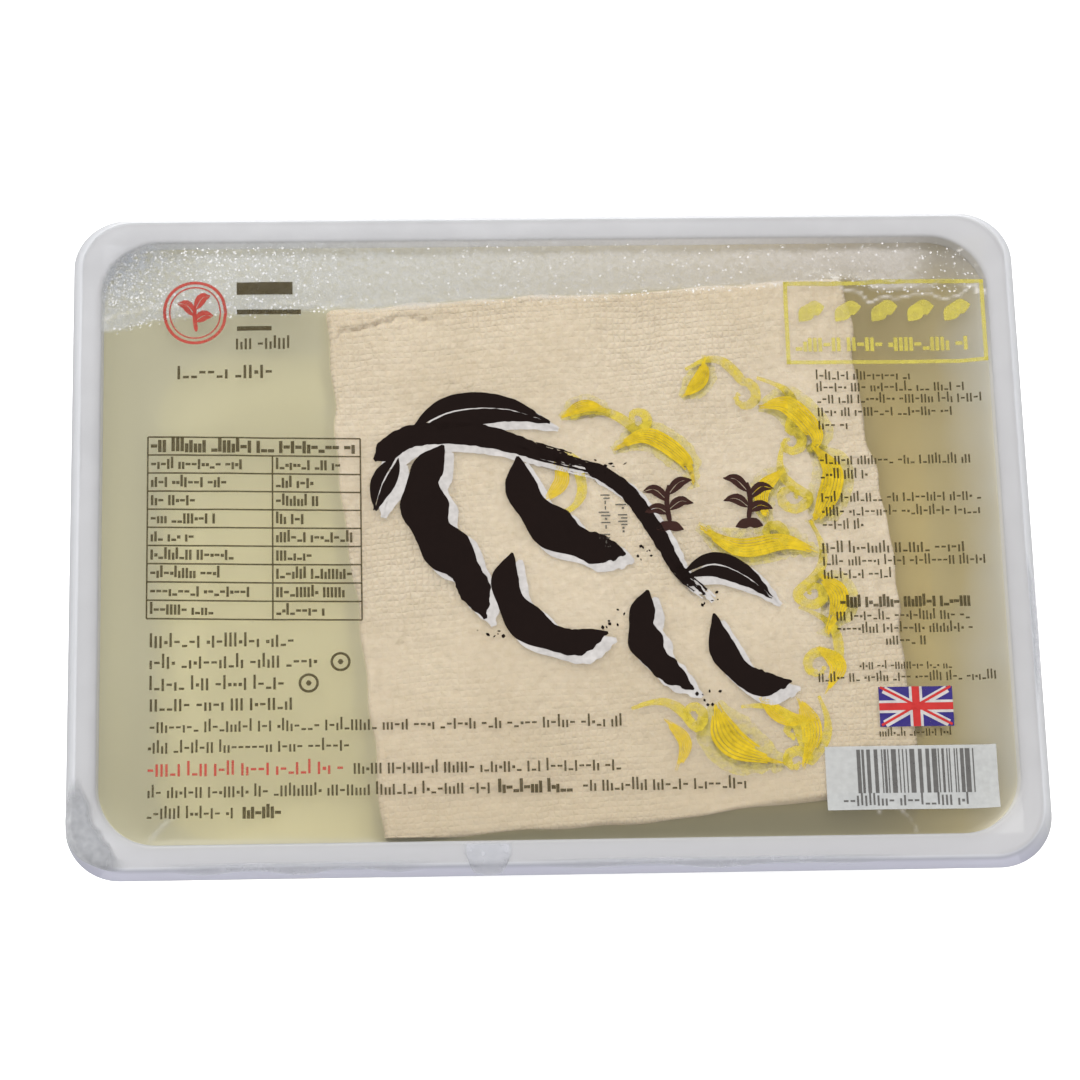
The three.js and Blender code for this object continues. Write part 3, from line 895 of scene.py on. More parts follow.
# The white of a crease is partly the film's own whitening and partly painted highlight.
CREASES = [   # points, height, half width, how white it is
    ([(51.4, 53.3), (53.5, 54.2), (56.0, 53.7), (57.9, 52.0), (59.6, 50.6), (62.3, 50.2), (64.2, 47.9),
      (66.9, 49.1), (69.6, 48.7), (72.9, 49.4), (76.9, 49.4), (78.9, 48.5), (82.6, 49.3), (84.4, 51.1),
      (86.4, 51.4)], 0.24, 0.24, 0.54),
    ([(85.4, 51.4), (85.6, 49.6), (87.1, 50.0), (86.7, 48.3)], 0.2, 0.34, 0.6),
    ([(58.0, 54.2), (60.4, 53.6), (64.5, 52.4), (69.7, 52.0), (72.5, 53.6), (74.5, 54.3)],
     0.24, 0.3, 0.4),
    ([(56.2, 53.4), (57.3, 53.2), (58.4, 53.0)], 0.2, 0.5, 0.7),
    ([(65.2, 51.1), (66.6, 51.4)], 0.2, 0.5, 0.66),
    ([(76.6, 50.9), (78.3, 52.2), (81.4, 52.2), (83.4, 50.9)], 0.16, 0.3, 0.42),
    ([(69.0, 50.6), (71.0, 51.4), (73.4, 51.1), (75.4, 51.9)], 0.14, 0.3, 0.4),
    ([(82.3, 58.4), (83.1, 58.8)], 0.14, 0.4, 0.5),
    ([(85.8, 55.3), (86.4, 55.9)], 0.14, 0.4, 0.5),
    ([(-87.0, 45.6), (-83.1, 46.7), (-80.2, 46.9), (-78.2, 48.1), (-75.3, 47.4), (-72.3, 48.3),
      (-69.4, 47.2)], 0.16, 0.34, 0.35),
    ([(-56.0, 47.6), (-52.0, 48.8), (-48.0, 48.2), (-45.0, 49.0)], 0.14, 0.3, 0.35),
    ([(63.4, -55.6), (64.8, -57.4), (66.4, -59.4), (67.4, -62.0)], 0.12, 0.18, 0.26),
    ([(59.7, -56.2), (60.4, -57.4)], 0.1, 0.2, 0.24),
    ([(-77.4, -61.0), (-75.9, -59.1), (-75.0, -58.0), (-72.8, -55.9)], 0.14, 0.45, 0.2),
    ([(28.6, -34.4), (28.0, -37.6)], 0.12, 0.26, 0.35),
]


def near_line(x, y, points, width):
    """1 on a line through the points and 0 away from it: a bell curve of the distance to the
    nearest of its straight pieces."""
    nearest = np.full(np.broadcast(x, y).shape, np.inf)
    for start, end in zip(np.array(points[:-1]), np.array(points[1:])):
        run = end - start
        share = np.clip(((x - start[0]) * run[0] + (y - start[1]) * run[1]) / (run @ run), 0, 1)
        off_x, off_y = x - start[0] - share * run[0], y - start[1] - share * run[1]
        nearest = np.minimum(nearest, np.hypot(off_x, off_y))
    return np.exp(-(nearest / width) ** 2)


def small_crinkles(x, y):
    """Short folds beside the long ones near the pocket's right end: each is a bell curve across
    its line, with a soft start and end along it."""
    total = np.zeros(np.broadcast(x, y).shape)
    draw = np.random.default_rng(71)
    for _ in range(30):
        cx = draw.uniform(50, 86)
        cy = pocket_edge(np.array([cx]))[0] + draw.normal(1.0, 2.2)
        angle = draw.normal(0.05, 0.6)
        length, width = draw.uniform(1.2, 3.5), draw.uniform(0.4, 0.7)
        along = (x - cx) * np.cos(angle) + (y - cy) * np.sin(angle)
        across = (y - cy) * np.cos(angle) - (x - cx) * np.sin(angle)
        size = draw.uniform(0.06, 0.2) * draw.choice([-1, 1])
        total += size * np.exp(-(along / length) ** 2 - (across / width) ** 2)
    return total


# %% Height of the film
def pocket_edge(x):
    """Y of the line where the trapped air ends, for each x.

    It follows the block's back edge, drops towards both corners, and wanders a little.
    """
    over_block = 47.1 + 0.0555 * (x + 43.2)
    left = 2.2 * smoothstep(-x, 70, 88) - 0.6 * smoothstep(-x, 40, 48)
    right = 3.1 * smoothstep(x, 58, 68)
    return over_block - left - right + 0.35 * ripples(x, 0 * x, 16, 61)


def pocket_share(x, y):
    """1 inside the air pocket, 0 outside it, with a soft change of 1.2 mm between."""
    return smoothstep(y - pocket_edge(x), -0.6, 0.6)


def film_height(x, y):
    """Height of the film's upper face over any point.

    On the rim it is flat. Inside the mouth it falls by the sag, or rises by the lift in the
    pocket, over the first 7 mm, and carries slow ripples, small slack waves and the creases.
    """
    inside = edge_distance(x, y, MOUTH_HALF, MOUTH_CORNER)
    free = smoothstep(inside, 0, 7)
    pocket = smoothstep(y - pocket_edge(x), -4, 5)
    slack = 0.12 * np.sin(0.13 * x + 0.05 * y) * np.sin(0.1 * y - 0.04 * x + 0.8)
    folds = small_crinkles(x, y) + 0.05 * ripples(x, y * 0.4, 11, 62) + 0.012 * ripples(x, y, 5.5, 63)
    for points, height, width, _ in CREASES:
        folds = folds + height * near_line(x, y, points, width)
    body = free * (POCKET_LIFT * pocket - FILM_SAG * (1 - pocket) + slack)
    return RIM_TOP + 0.1 + body + smoothstep(inside, -1, 3) * folds


# %% Build the film
def build_film():
    """Two square grids with round corners, one over the other, joined round their border."""
    half = RIM_HALF - FILM_INSET
    xs = np.linspace(-half[0], half[0], int(2 * half[0] / FILM_STEP_X))
    starts = [-half[1]] + [place for place, _ in FILM_STEPS[1:]] + [half[1]]
    pieces = [np.linspace(low, high, int((high - low) / step), endpoint=False)
              for low, high, (_, step) in zip(starts, starts[1:], FILM_STEPS)]
    ys = np.concatenate(pieces + [[half[1]]])
    x, y = round_corners(*np.meshgrid(xs, ys, indexing="ij"), half, RIM_CORNER - 1)
    upper = film_height(x, y)
    count = x.size
    points = np.concatenate([np.stack([x, y, upper], -1).reshape(-1, 3),
                             np.stack([x, y, upper - FILM_THICK], -1).reshape(-1, 3)])
    quads = grid_quads(len(xs), len(ys))
    under = [[count + n for n in reversed(face)] for face in quads]
    rim = border(len(xs), len(ys))
    lower = rim + count
    sides = np.stack([lower, np.roll(lower, -1), np.roll(rim, -1), rim], -1).tolist()
    return points, quads + under + sides


def film_material():
    """Clear glossy film: almost all of it is Transparent and Fresnel adds the shine.

    Fine dew dulls it where air is trapped, and creases turn it white, partly as the film's own
    whitening and partly as painted highlight. Both are masks that the film's own attributes carry.
    The dew's tone turns greyer to the left. A fine noise breaks them up, more to the left, and most
    in the back left corner, where the dew's dark grey is painted shade.
    """
    material, tree, shader = new_material("clear_film", Roughness=0.16, IOR=1.46)
    clear = add_node(tree, "BsdfTransparent", Color=(0.995, 0.995, 0.993, 1))
    gloss = add_node(tree, "Fresnel", IOR=1.4)
    haze = add_node(tree, "Attribute", attribute_name="haze").outputs["Fac"]
    crease = add_node(tree, "Attribute", attribute_name="crease").outputs["Fac"]
    to_left = along_axis(tree, "X", 60, -50)
    dull = mix_colours(tree, to_left, linear(193, 188, 184), linear(176, 178, 180))
    # Painted shade: the dew turns dark grey in the back left corner.
    shaded_corner = times(tree, along_axis(tree, "X", -66, -84), along_axis(tree, "Y", 42, 58))
    dull = mix_colours(tree, shaded_corner, dull, linear(124, 127, 132))
    # The creases' white is partly the film's own whitening and partly painted highlight.
    colour = mix_colours(tree, crease, dull, linear(232, 229, 222))
    tree.links.new(colour, shader.inputs["Base Color"])
    place = add_node(tree, "TexCoord").outputs["Object"]
    noise = add_node(tree, "TexNoise", [("Vector", place)], Scale=820.0, Detail=2.0, Roughness=0.65)
    reach = math_node(tree, "ADD", times(tree, to_left, 0.5), 0.6)
    reach = math_node(tree, "ADD", reach, times(tree, shaded_corner, 1.2))
    broken = times(tree, math_node(tree, "SUBTRACT", noise.outputs[0], 0.5), reach)
    broken = math_node(tree, "ADD", broken, 0.6)
    veil = times(tree, math_node(tree, "MAXIMUM", haze, crease), broken)
    share = math_node(tree, "ADD", gloss.outputs[0], veil)
    mix = tree.nodes.new("ShaderNodeMixShader")
    tree.links.new(share, mix.inputs[0])
    tree.links.new(clear.outputs[0], mix.inputs[1])
    tree.links.new(shader.outputs[0], mix.inputs[2])
    lets_light_through(tree, mix, (0.98, 0.98, 0.98, 1), scattered=(0.782, 0.77, 0.763, 1))
    return material


film = new_piece("lid_film", *build_film(), "clear_film", film_material(), replaced="film")
film_points = np.empty(len(film.data.vertices) * 3)
film.data.vertices.foreach_get("co", film_points)
film_x, film_y = film_points.reshape(-1, 3)[:, :2].T / MM
print("film reaches from", film_x.min().round(1), "to", film_x.max().round(1), "mm")


# %% Masks of the film
def touching(x, y):
    """1 in an oval spot near the pocket's right end, where the film touches the water."""
    return smoothstep(np.hypot((x - 80) / 3.1, (y - 50.4) / 1.5), 1.1, 0.85)


def haze_mask(x, y):
    """How much fine dew dulls the film where air is trapped, from 0 to 1.

    It is a half over most of the pocket, less in a band along the back wall and at the right end,
    more in the back left corner, where beads run together and its dark grey is painted shade, and
    next to nothing where the film touches the water.
    """
    clear_band = 0.28 - 0.12 * smoothstep(x, 20, 75)
    from_back = MOUTH_HALF[1] - y + 0.3 * ripples(x, y, 9, 64)
    dewed = clear_band + (0.5 - clear_band) * smoothstep(from_back, 2.3, 3.9)
    corner_dew_and_shade = smoothstep(np.hypot(x + 88, y - 62), 15, 5)
    dewed = dewed * (1 - 0.75 * smoothstep(x, 70, 79)) + 0.4 * corner_dew_and_shade
    return dewed * (1 - 0.8 * touching(x, y)) * pocket_share(x, y)


def crease_white_and_highlight(x, y):
    """How white the film is: along each crease, partly its own whitening and partly painted
    highlight, and faintly along the line where it meets the curd, as painted highlight. Each is a
    bell curve across its line, and the whitest one counts."""
    lines = [white * near_line(x, y, points, 0.9 * width) for points, _, width, white in CREASES]
    # Painted highlight along the line where the film meets the curd.
    over_block = smoothstep(x, -44, -40) * smoothstep(-x, -62, -56)
    lines.append(0.3 * over_block * np.exp(-((y - pocket_edge(x)) / 0.35) ** 2))
    return np.max(lines, axis=0) * (1 - 0.7 * touching(x, y))


inside_mouth = smoothstep(edge_distance(film_x, film_y, MOUTH_HALF, MOUTH_CORNER), -0.4, 0.6)
masks = {"haze": haze_mask(film_x, film_y) * inside_mouth,
         "crease": crease_white_and_highlight(film_x, film_y) * inside_mouth}
for name, values in masks.items():
    film.data.attributes.new(name, "FLOAT", "POINT").data.foreach_set("value", values)
    print("mask", name, "up to", values.max().round(2))

# %% [markdown]
# ### Loose film on the rim
#
# The film is cut a little askew and the hot sealing tool crumples it: it wraps the front left
# corner in fine wrinkles, laps over the lip along the front, and makes a small blister there. We
# bend flat grids over the rim. A point's place is its way along the rim's outline and its way
# down the rim's section, and wrinkles lift it off along the surface's normal.

# %% Film draped over the rim
LIP_LINE = np.array([(8.0, 0.0), (2.1, 0.0), (1.5, -0.25), (1.25, -0.7), (0.0, -2.75), (0.0, -3.6)])
LIP_WAY = np.concatenate([[0], np.cumsum(np.hypot(*np.diff(LIP_LINE, axis=0).T))])
LIP_TILT = np.radians([0, 0, 35, 62, 75, 90])     # how far the normal leans out from upright


def rim_outline():
    """Points and normals round the rim's outer edge, with the way along it from the left end
    of the front side, anticlockwise."""
    signs, normals = perimeter(18, 44)
    start = int(np.argmax((normals[:, 1] < -0.999) & (signs[:, 0] < -0.9)))
    signs, normals = np.roll(signs, -start, 0), np.roll(normals, -start, 0)
    points = signs * (RIM_HALF - RIM_CORNER) + normals * RIM_CORNER
    steps = np.hypot(*(np.roll(points, -1, 0) - points).T)
    way = np.concatenate([[0], np.cumsum(steps)])
    return way, np.concatenate([points, points[:1]]), np.concatenate([normals, normals[:1]])


RIM_WAY, RIM_POINTS, RIM_NORMALS = rim_outline()
print("way round the rim, mm:", round(float(RIM_WAY[-1]), 1))


def on_rim(along, down, lift):
    """Place of a point: its way along the rim, its way down the section, and its lift."""
    along = along % RIM_WAY[-1]
    base = np.stack([np.interp(along, RIM_WAY, RIM_POINTS[:, k]) for k in (0, 1)], -1)
    out = np.stack([np.interp(along, RIM_WAY, RIM_NORMALS[:, k]) for k in (0, 1)], -1)
    inset, drop, tilt = (np.interp(down, LIP_WAY, line) for line in (*LIP_LINE.T, LIP_TILT))
    plan = base + out * (lift * np.sin(tilt) - inset)[..., None]
    return np.concatenate([plan, (RIM_TOP + 0.12 + drop + lift * np.cos(tilt))[..., None]], -1)


def draped(along, down, lift):
    """A closed thin sheet over grids of along, down and lift."""
    upper = on_rim(along, down, lift + 0.06).reshape(-1, 3)
    lower = on_rim(along, down, lift).reshape(-1, 3)
    rows, columns = along.shape
    quads = grid_quads(rows, columns)
    turned = [face[::-1] for face in quads]
    edge = border(rows, columns)
    size = len(upper)
    sides = np.stack([edge, np.roll(edge, -1), np.roll(edge, -1) + size, edge + size], -1).tolist()
    lifted = [[size + n for n in face] for face in quads]
    return np.concatenate([upper, lower]), turned + lifted + sides


def eased(share, values):
    """Value at a share of a list's length, eased by 3u^2 - 2u^3 from each entry to the next."""
    values = np.asarray(values, dtype=float)
    place = share * (len(values) - 1)
    k = np.minimum(place.astype(int), len(values) - 2)
    return values[k] + (values[k + 1] - values[k]) * smoothstep(place - k, 0, 1)


def loose_sheet(start, end, upper_edge, lower_edge, wrinkle, seed, bulge=0.0, soft=0.3):
    """A sheet from start to end along the rim, between two distances down the section.

    upper_edge and lower_edge are lists of distances at even shares of the length. The lift is
    wrinkles of two sizes that fade to the edges, and an optional blister in the middle. Gives
    points, faces, and each point's cover, which falls to nothing at the sheet's ends and at its
    inner edge, where it is welded down.
    """
    rows, columns = max(8, int((end - start) / 0.4)), 20
    s = np.linspace(0, 1, rows)[:, None]
    t = np.linspace(0, 1, columns)[None, :]
    high, low = eased(s, upper_edge), eased(s, lower_edge)
    along = start + (end - start) * s + 0 * t
    down = high + (low - high) * t
    fade = smoothstep(s, 0, 0.12) * smoothstep(1 - s, 0, 0.12) * smoothstep(t, 0, 0.3)
    folds = 1 + ripples(along, down * 1.3, 6.5, seed) + 0.25 * ripples(along, down, 2.6, seed + 1)
    dome = bulge * np.sin(np.pi * s) ** 0.8 * np.sin(np.pi * t) ** 0.8
    cover = smoothstep(s, 0, soft) * smoothstep(1 - s, 0, soft) * smoothstep(t, 0, soft)
    points, faces = draped(along, down, fade * wrinkle * folds + dome + 0.02)
    return points, faces, np.tile((cover + 0 * t).reshape(-1), 2)


def loose_piece(name, sheets, material):
    """Join loose sheets into one piece and store their cover as an attribute."""
    shapes = [(points, faces) for points, faces, _ in sheets]
    piece = new_piece(name, *join(shapes), "clear_film", material)
    cover = np.concatenate([cover for *_, cover in sheets])
    piece.data.attributes.new("cover", "FLOAT", "POINT").data.foreach_set("value", cover)


def fold_material(name, dark, light, thickness):
    """Loose film between two greys: half see-through, with a soft shine. Its alpha is the
    cover, times the thickness, give or take a mottle."""
    material, tree, shader = new_material(name, Roughness=0.4, IOR=1.4)
    mottle = use_group(tree, MOTTLE, Scale=180.0, Fineness=4.0)
    tree.links.new(colour_between(tree, mottle, 0.3, 0.7, dark, light), shader.inputs["Base Color"])
    tree.links.new(bump_from(tree, mottle, 0.12, 0.0004), shader.inputs["Normal"])
    cover = add_node(tree, "Attribute", attribute_name="cover").outputs["Fac"]
    dense = times(tree, math_node(tree, "ADD", mottle, 1.0), thickness / 1.5, cover)
    tree.links.new(dense, shader.inputs["Alpha"])
    lets_light_through(tree, shader, (0.97, 0.97, 0.97, 1))
    return material


FRONT_LENGTH = 2 * (RIM_HALF[0] - RIM_CORNER)
CORNER_LENGTH = RIM_CORNER * math.pi / 2
SIDE_LENGTH = 2 * (RIM_HALF[1] - RIM_CORNER)
right_middle = FRONT_LENGTH + CORNER_LENGTH + SIDE_LENGTH / 2
corner = loose_sheet(-26, 1.5, [5.0, 2.6, 0.9, 1.6, 4.6], [7.6, 9.2, 8.6, 7.2, 6.6], 0.05, 701)
laps = [
    loose_sheet(6, 61.5, [5.4, 5.4], [7.0, 8.2, 7.2, 8.4, 6.8, 8.0, 6.8], 0.03, 703),
    loose_sheet(64.3, 73.6, [2.4, 2.2, 2.2, 2.2, 2.4], [4.4, 8.7, 9.3, 8.9, 4.8], 0.03, 705, 0.4, 0.1),
    loose_sheet(74.5, 150, [5.6, 5.6], [6.8, 7.8, 7.0, 8.2, 7.2, 7.6, 6.6], 0.03, 707),
    loose_sheet(right_middle - 38, right_middle - 4, [6.0, 6.0], [6.3, 8.6, 9.2, 9.0, 6.6], 0.05, 709),
]
loose_piece("loose_film_corner", [corner],
            fold_material("crumpled_film", linear(142, 143, 146), linear(156, 157, 160), 0.85))
loose_piece("loose_film_laps", laps,
            fold_material("lapped_film", linear(176, 177, 183), linear(186, 187, 193), 0.38))

# %% [markdown]
# ## Dew under the film
#
# Where air is trapped, water condenses on the film in small beads, most of them in the back left
# corner and along the water's edge. Each bead is a flat dome of a few dozen faces. We place all of
# them at once by adding their centres to one template, and join them into one piece.

# %% Build the dew
BEAD_RINGS, BEAD_SIDES = 4, 8


def bead_template():
    """A closed drop of radius 1 that hangs from z = 0: rings on a flattened half ball."""
    turn = np.radians(np.linspace(0, 82, BEAD_RINGS))
    angle = np.linspace(0, 2 * np.pi, BEAD_SIDES, endpoint=False)
    rings = [np.stack([np.cos(t) * np.cos(angle), np.cos(t) * np.sin(angle),
                       np.full(BEAD_SIDES, -0.55 * np.sin(t))], -1) for t in turn[::-1]]
    points = np.concatenate(rings + [[[0, 0, -0.55], [0, 0, 0.02]]])
    count = BEAD_RINGS * BEAD_SIDES
    faces = ring_quads(BEAD_RINGS, BEAD_SIDES)
    faces += fan(np.arange(BEAD_SIDES), count, upwards=False)
    faces += fan(np.arange(count - BEAD_SIDES, count), count + 1, upwards=True)
    return points, faces


def dew_places():
    """Centres and radii of the beads, by seeded draws: in the back left corner, over the whole
    pocket, along the line where the water touches the film, and at the right end."""
    draw = np.random.default_rng(81)
    corner = np.column_stack([-87 + 46 * draw.random(1300) ** 1.8, 61.4 - 14 * draw.random(1300)])
    spread = np.column_stack([draw.uniform(-86, 86, 900), draw.uniform(48, 61, 900)])
    line_x = np.concatenate([draw.uniform(-87, -43, 200), draw.uniform(0, 88, 180)])
    line = np.column_stack([line_x, pocket_edge(line_x) + draw.normal(0, 0.5, len(line_x))])
    right = np.column_stack([draw.uniform(74, 87, 60), draw.uniform(50, 61, 60)])
    places = np.concatenate([corner, spread, line, right])
    radius = 0.08 + 0.19 * draw.random(len(places)) ** 3
    keep = (places[:, 1] > pocket_edge(places[:, 0]) - 0.9)
    inner = MOUTH_HALF - 1.0
    bend = edge_distance(places[:, 0], places[:, 1], inner, MOUTH_CORNER - 1) > radius
    return places[keep & bend], radius[keep & bend]


def build_beads(places, radius, lift):
    """Every bead: its template times its radius, plus its place under the film."""
    points, faces = bead_template()
    z = film_height(places[:, 0], places[:, 1]) - FILM_THICK - lift
    centres = np.column_stack([places, z])
    every = points[None] * radius[:, None, None] + centres[:, None]
    starts = np.arange(len(places)) * len(points)
    lists = [[n + int(start) for n in face] for start in starts for face in faces]
    return every.reshape(-1, 3), lists


def dew_material():
    """Clear water beads, with a faint milkiness."""
    material, tree, shader = new_material("dew", Roughness=0.08, IOR=1.33, Transmission_Weight=0.6,
                                          Specular_IOR_Level=0.3)
    mottle = use_group(tree, MOTTLE, Scale=300.0, Fineness=4.0)
    colour = colour_between(tree, mottle, 0.3, 0.7, (0.92, 0.92, 0.9, 1), (1, 1, 1, 1))
    tree.links.new(colour, shader.inputs["Base Color"])
    lets_light_through(tree, shader, (0.95, 0.95, 0.95, 1), scattered=(0.95, 0.95, 0.95, 1))
    return material


new_piece("dew_beads", *build_beads(*dew_places(), 0.0), "soaking_water", dew_material())

# %% [markdown]
# ## The print
#
# The real film is printed: rows of small type, a table, a large brush-painted word, yellow
# flourishes, a flag and a bar code. This tub carries no words and no maker's design. Small type
# becomes rows of plain marks, the painted word becomes a painted sprig with bean pods, and the
# flourishes become tendrils. Everything is a thin plate that lies on the film: each is a grid in
# plan, and the film's height formula drapes it.

# %% Plates that lie on the film
INK_THICK = 0.03
INK_STEP = 0.9            # grid step across a large plate
BRUSH_STEP = 0.5          # grid step along a painted stroke
LAYER = {"wash": 0.05, "under": 0.09, "ink": 0.13, "over": 0.17}


def plates(plan, layer):
    """Closed thin plates on the film, from plans (plates, rows, columns, 2).

    Each plate's upper face is the film's height plus its layer, its lower face lies one ink
    thickness below, and the border joins them. The rows run to the right of the columns.
    """
    number, rows, columns = plan.shape[:3]
    z = film_height(plan[..., 0], plan[..., 1]) + LAYER[layer]
    upper = np.concatenate([plan, z[..., None]], -1).reshape(number, -1, 3)
    lower = upper - [0, 0, INK_THICK]
    size = rows * columns
    quads = grid_quads(rows, columns)
    rim = border(rows, columns)
    sides = np.stack([rim + size, np.roll(rim, -1) + size, np.roll(rim, -1), rim], -1).tolist()
    faces = quads + [[size + n for n in reversed(face)] for face in quads] + sides
    points = np.concatenate([upper, lower], 1)
    starts = (np.arange(number) * 2 * size)[:, None, None]
    every = (np.array(faces)[None] + starts).reshape(-1, 4)
    return points.reshape(-1, 3), every.tolist()


def rectangles(boxes, layer, slope=0.0, level_at=0.0):
    """Plates for boxes (n, 4) of left, bottom, right, top, all with the grid of the largest.

    With a slope, each point rises by slope times its distance to the right of level_at.
    """
    boxes = np.atleast_2d(np.asarray(boxes, dtype=float))
    rows = int(np.ceil((boxes[:, 2] - boxes[:, 0]).max() / INK_STEP)) + 1
    columns = int(np.ceil((boxes[:, 3] - boxes[:, 1]).max() / INK_STEP)) + 1
    s = np.linspace(0, 1, rows)[None, :, None]
    t = np.linspace(0, 1, columns)[None, None, :]
    left, bottom, right, top = (boxes[:, k][:, None, None] for k in range(4))
    x = left + (right - left) * s + 0 * t
    y = bottom + (top - bottom) * t + slope * (x - level_at)
    return plates(np.stack([x, y], -1), layer)


def curve_through(points, t):
    """Smooth curve through given points, at shares t of its length: a Catmull-Rom spline."""
    points = np.asarray(points, dtype=float)
    padded = np.concatenate([[2 * points[0] - points[1]], points, [2 * points[-1] - points[-2]]])
    place = np.clip(t, 0, 1) * (len(points) - 1 - 1e-9)
    k = place.astype(int)
    u = (place - k)[:, None]
    a, b, c, d = padded[k], padded[k + 1], padded[k + 2], padded[k + 3]
    return 0.5 * (2 * b + (c - a) * u + (2 * a - 5 * b + 4 * c - d) * u ** 2
                  + (3 * b - a - 3 * c + d) * u ** 3)


def band(points, low, high, layer, ragged=0.0, seed=1, columns=7, span=(0.0, 1.0)):
    """A painted shape along a curve, between two distances to its left, low(t) and high(t).

    Both edges wander by ragged, in millimetres, more towards the end of the stroke, where a
    brush runs dry. span gives the part of the curve that is painted.
    """
    length = np.hypot(*np.diff(np.asarray(points, dtype=float), axis=0).T).sum()
    t = np.linspace(*span, max(5, int(length * (span[1] - span[0]) / BRUSH_STEP)))
    line = curve_through(points, t)
    along = np.gradient(line, axis=0)
    along /= np.hypot(*along.T)[:, None]
    left = np.stack([-along[:, 1], along[:, 0]], -1)
    wander = ragged * (0.25 + 0.75 * smoothstep(t, 0.5, 1))
    under = low(t) + wander * ripples(t * length, 0 * t, 1.9, seed)
    over = high(t) + wander * ripples(t * length, 0 * t, 1.9, seed + 7)
    share = np.linspace(0, 1, columns)
    offset = under[:, None] * (1 - share) + over[:, None] * share
    return plates((line[:, None] + left[:, None] * offset[..., None])[None], layer)


def stroke(points, half_width, layer, ragged=0.0, seed=1, columns=7, span=(0.0, 1.0)):
    """A band with the same distance to both sides."""
    return band(points, lambda t: -half_width(t), half_width, layer, ragged, seed, columns, span)


print("layers over the film, mm:", LAYER)


# %% Inks
INK_LETS_THROUGH = 0.975    # per face: the film lies on the curd, so ink throws next to no shadow


def ink_material(name, colour, cover=1.0, uneven=0.3, roughness=0.4, shine=0.3):
    """Film ink: a colour with a faint mottle.

    Where cover is below 1 the ink is see-through: its alpha is cover, give or take half of
    uneven by the mottle, as in a thin layer of ink.
    """
    material, tree, shader = new_material(name, Roughness=roughness)
    mottle = use_group(tree, MOTTLE, Scale=240.0, Fineness=4.0)
    dark = tuple(0.88 * c for c in colour[:3]) + (1,)
    tree.links.new(colour_between(tree, mottle, 0.3, 0.7, dark, colour), shader.inputs["Base Color"])
    shader.inputs["Specular IOR Level"].default_value = shine
    lets_light_through(tree, shader, (INK_LETS_THROUGH,) * 3 + (1,))
    if cover < 1:
        span = math_node(tree, "MULTIPLY", mottle, 2 * uneven)
        tree.links.new(math_node(tree, "ADD", span, cover - uneven), shader.inputs["Alpha"])
    return material


INKS = {
    "black": ink_material("ink_black", linear(24, 14, 11), roughness=0.35, shine=0.14),
    "brown": ink_material("ink_brown", linear(52, 26, 20), cover=0.96, uneven=0.1),
    "white": ink_material("ink_white", linear(181, 177, 174), cover=0.88),
    "yellow": ink_material("ink_yellow", linear(200, 171, 22), cover=0.68, uneven=0.5),
    "pale_yellow": ink_material("ink_pale_yellow", linear(194, 174, 52), cover=0.42, uneven=0.6),
    "yellow_wash": ink_material("ink_yellow_wash", linear(194, 178, 70), cover=0.17, uneven=0.4),
    "frame_yellow": ink_material("ink_frame_yellow", linear(190, 178, 76), cover=0.46, uneven=0.3),
    "type": ink_material("ink_type", linear(66, 56, 28), cover=0.66, uneven=0.2),
    "red": ink_material("ink_red", linear(172, 60, 50), cover=0.7),
    "flag_red": ink_material("ink_flag_red", linear(178, 42, 40), cover=0.9, uneven=0.1),
    "blue": ink_material("ink_blue", linear(48, 38, 112), cover=0.84, uneven=0.16),
    "patch": ink_material("ink_patch", linear(178, 179, 178), cover=0.7, uneven=0.05),
    "grey": ink_material("ink_grey", linear(92, 90, 88), cover=0.82),
    "stamp": ink_material("ink_stamp", linear(88, 84, 76), cover=0.7),
}


def print_piece(name, shapes, ink):
    """Join print shapes of one ink into one piece."""
    return new_piece(name, *join(shapes), "printed_ink", INKS[ink])


# %% [markdown]
# ### Small type
#
# Type this small reads as texture, so we draw rows of ticks, dashes and dots that stand apart and
# spell nothing. Each mark is one short bar in a cell, and a seeded draw strings them into groups.
# A row gives its left and right end, the height of its middle on the film, and its marks' height.

# %% Marks
MARKS = (   # the bar's middle line (left, bottom, right, top) and the cell's width, in heights
    ((0, 0, 0, 1), 0.46), ((0, 0, 0, 0.62), 0.44), ((0, 0.1, 0, 1.3), 0.46),
    ((0, 0.5, 0.3, 0.5), 0.74), ((0, 0.08, 0.28, 0.08), 0.7), ((0, 0.4, 0.1, 0.5), 0.5),
)
MARK_SHARES = (0.34, 0.16, 0.1, 0.22, 0.1, 0.08)
LIGHT, BOLD = 0.23, 0.36          # weight of a bar, in heights of the mark
GROUP_GAP = 0.45


def mark_row(left, right, y, height, seed, weight=LIGHT):
    """Boxes of one row of marks: groups of 3 to 11 marks until the row is full."""
    draw = np.random.default_rng(seed)
    pad = weight * height / 2
    x, low = left, y - height / 2
    boxes, marks_left = [], int(draw.integers(3, 12))
    while True:
        (a, b, c, d), width = MARKS[draw.choice(len(MARKS), p=MARK_SHARES)]
        if x + width * height > right:
            return boxes
        boxes.append((x + a * height - pad, low + b * height - pad,
                      x + c * height + pad, low + d * height + pad))
        x += width * height
        marks_left -= 1
        if marks_left == 0:
            x += GROUP_GAP * height
            marks_left = int(draw.integers(3, 12))


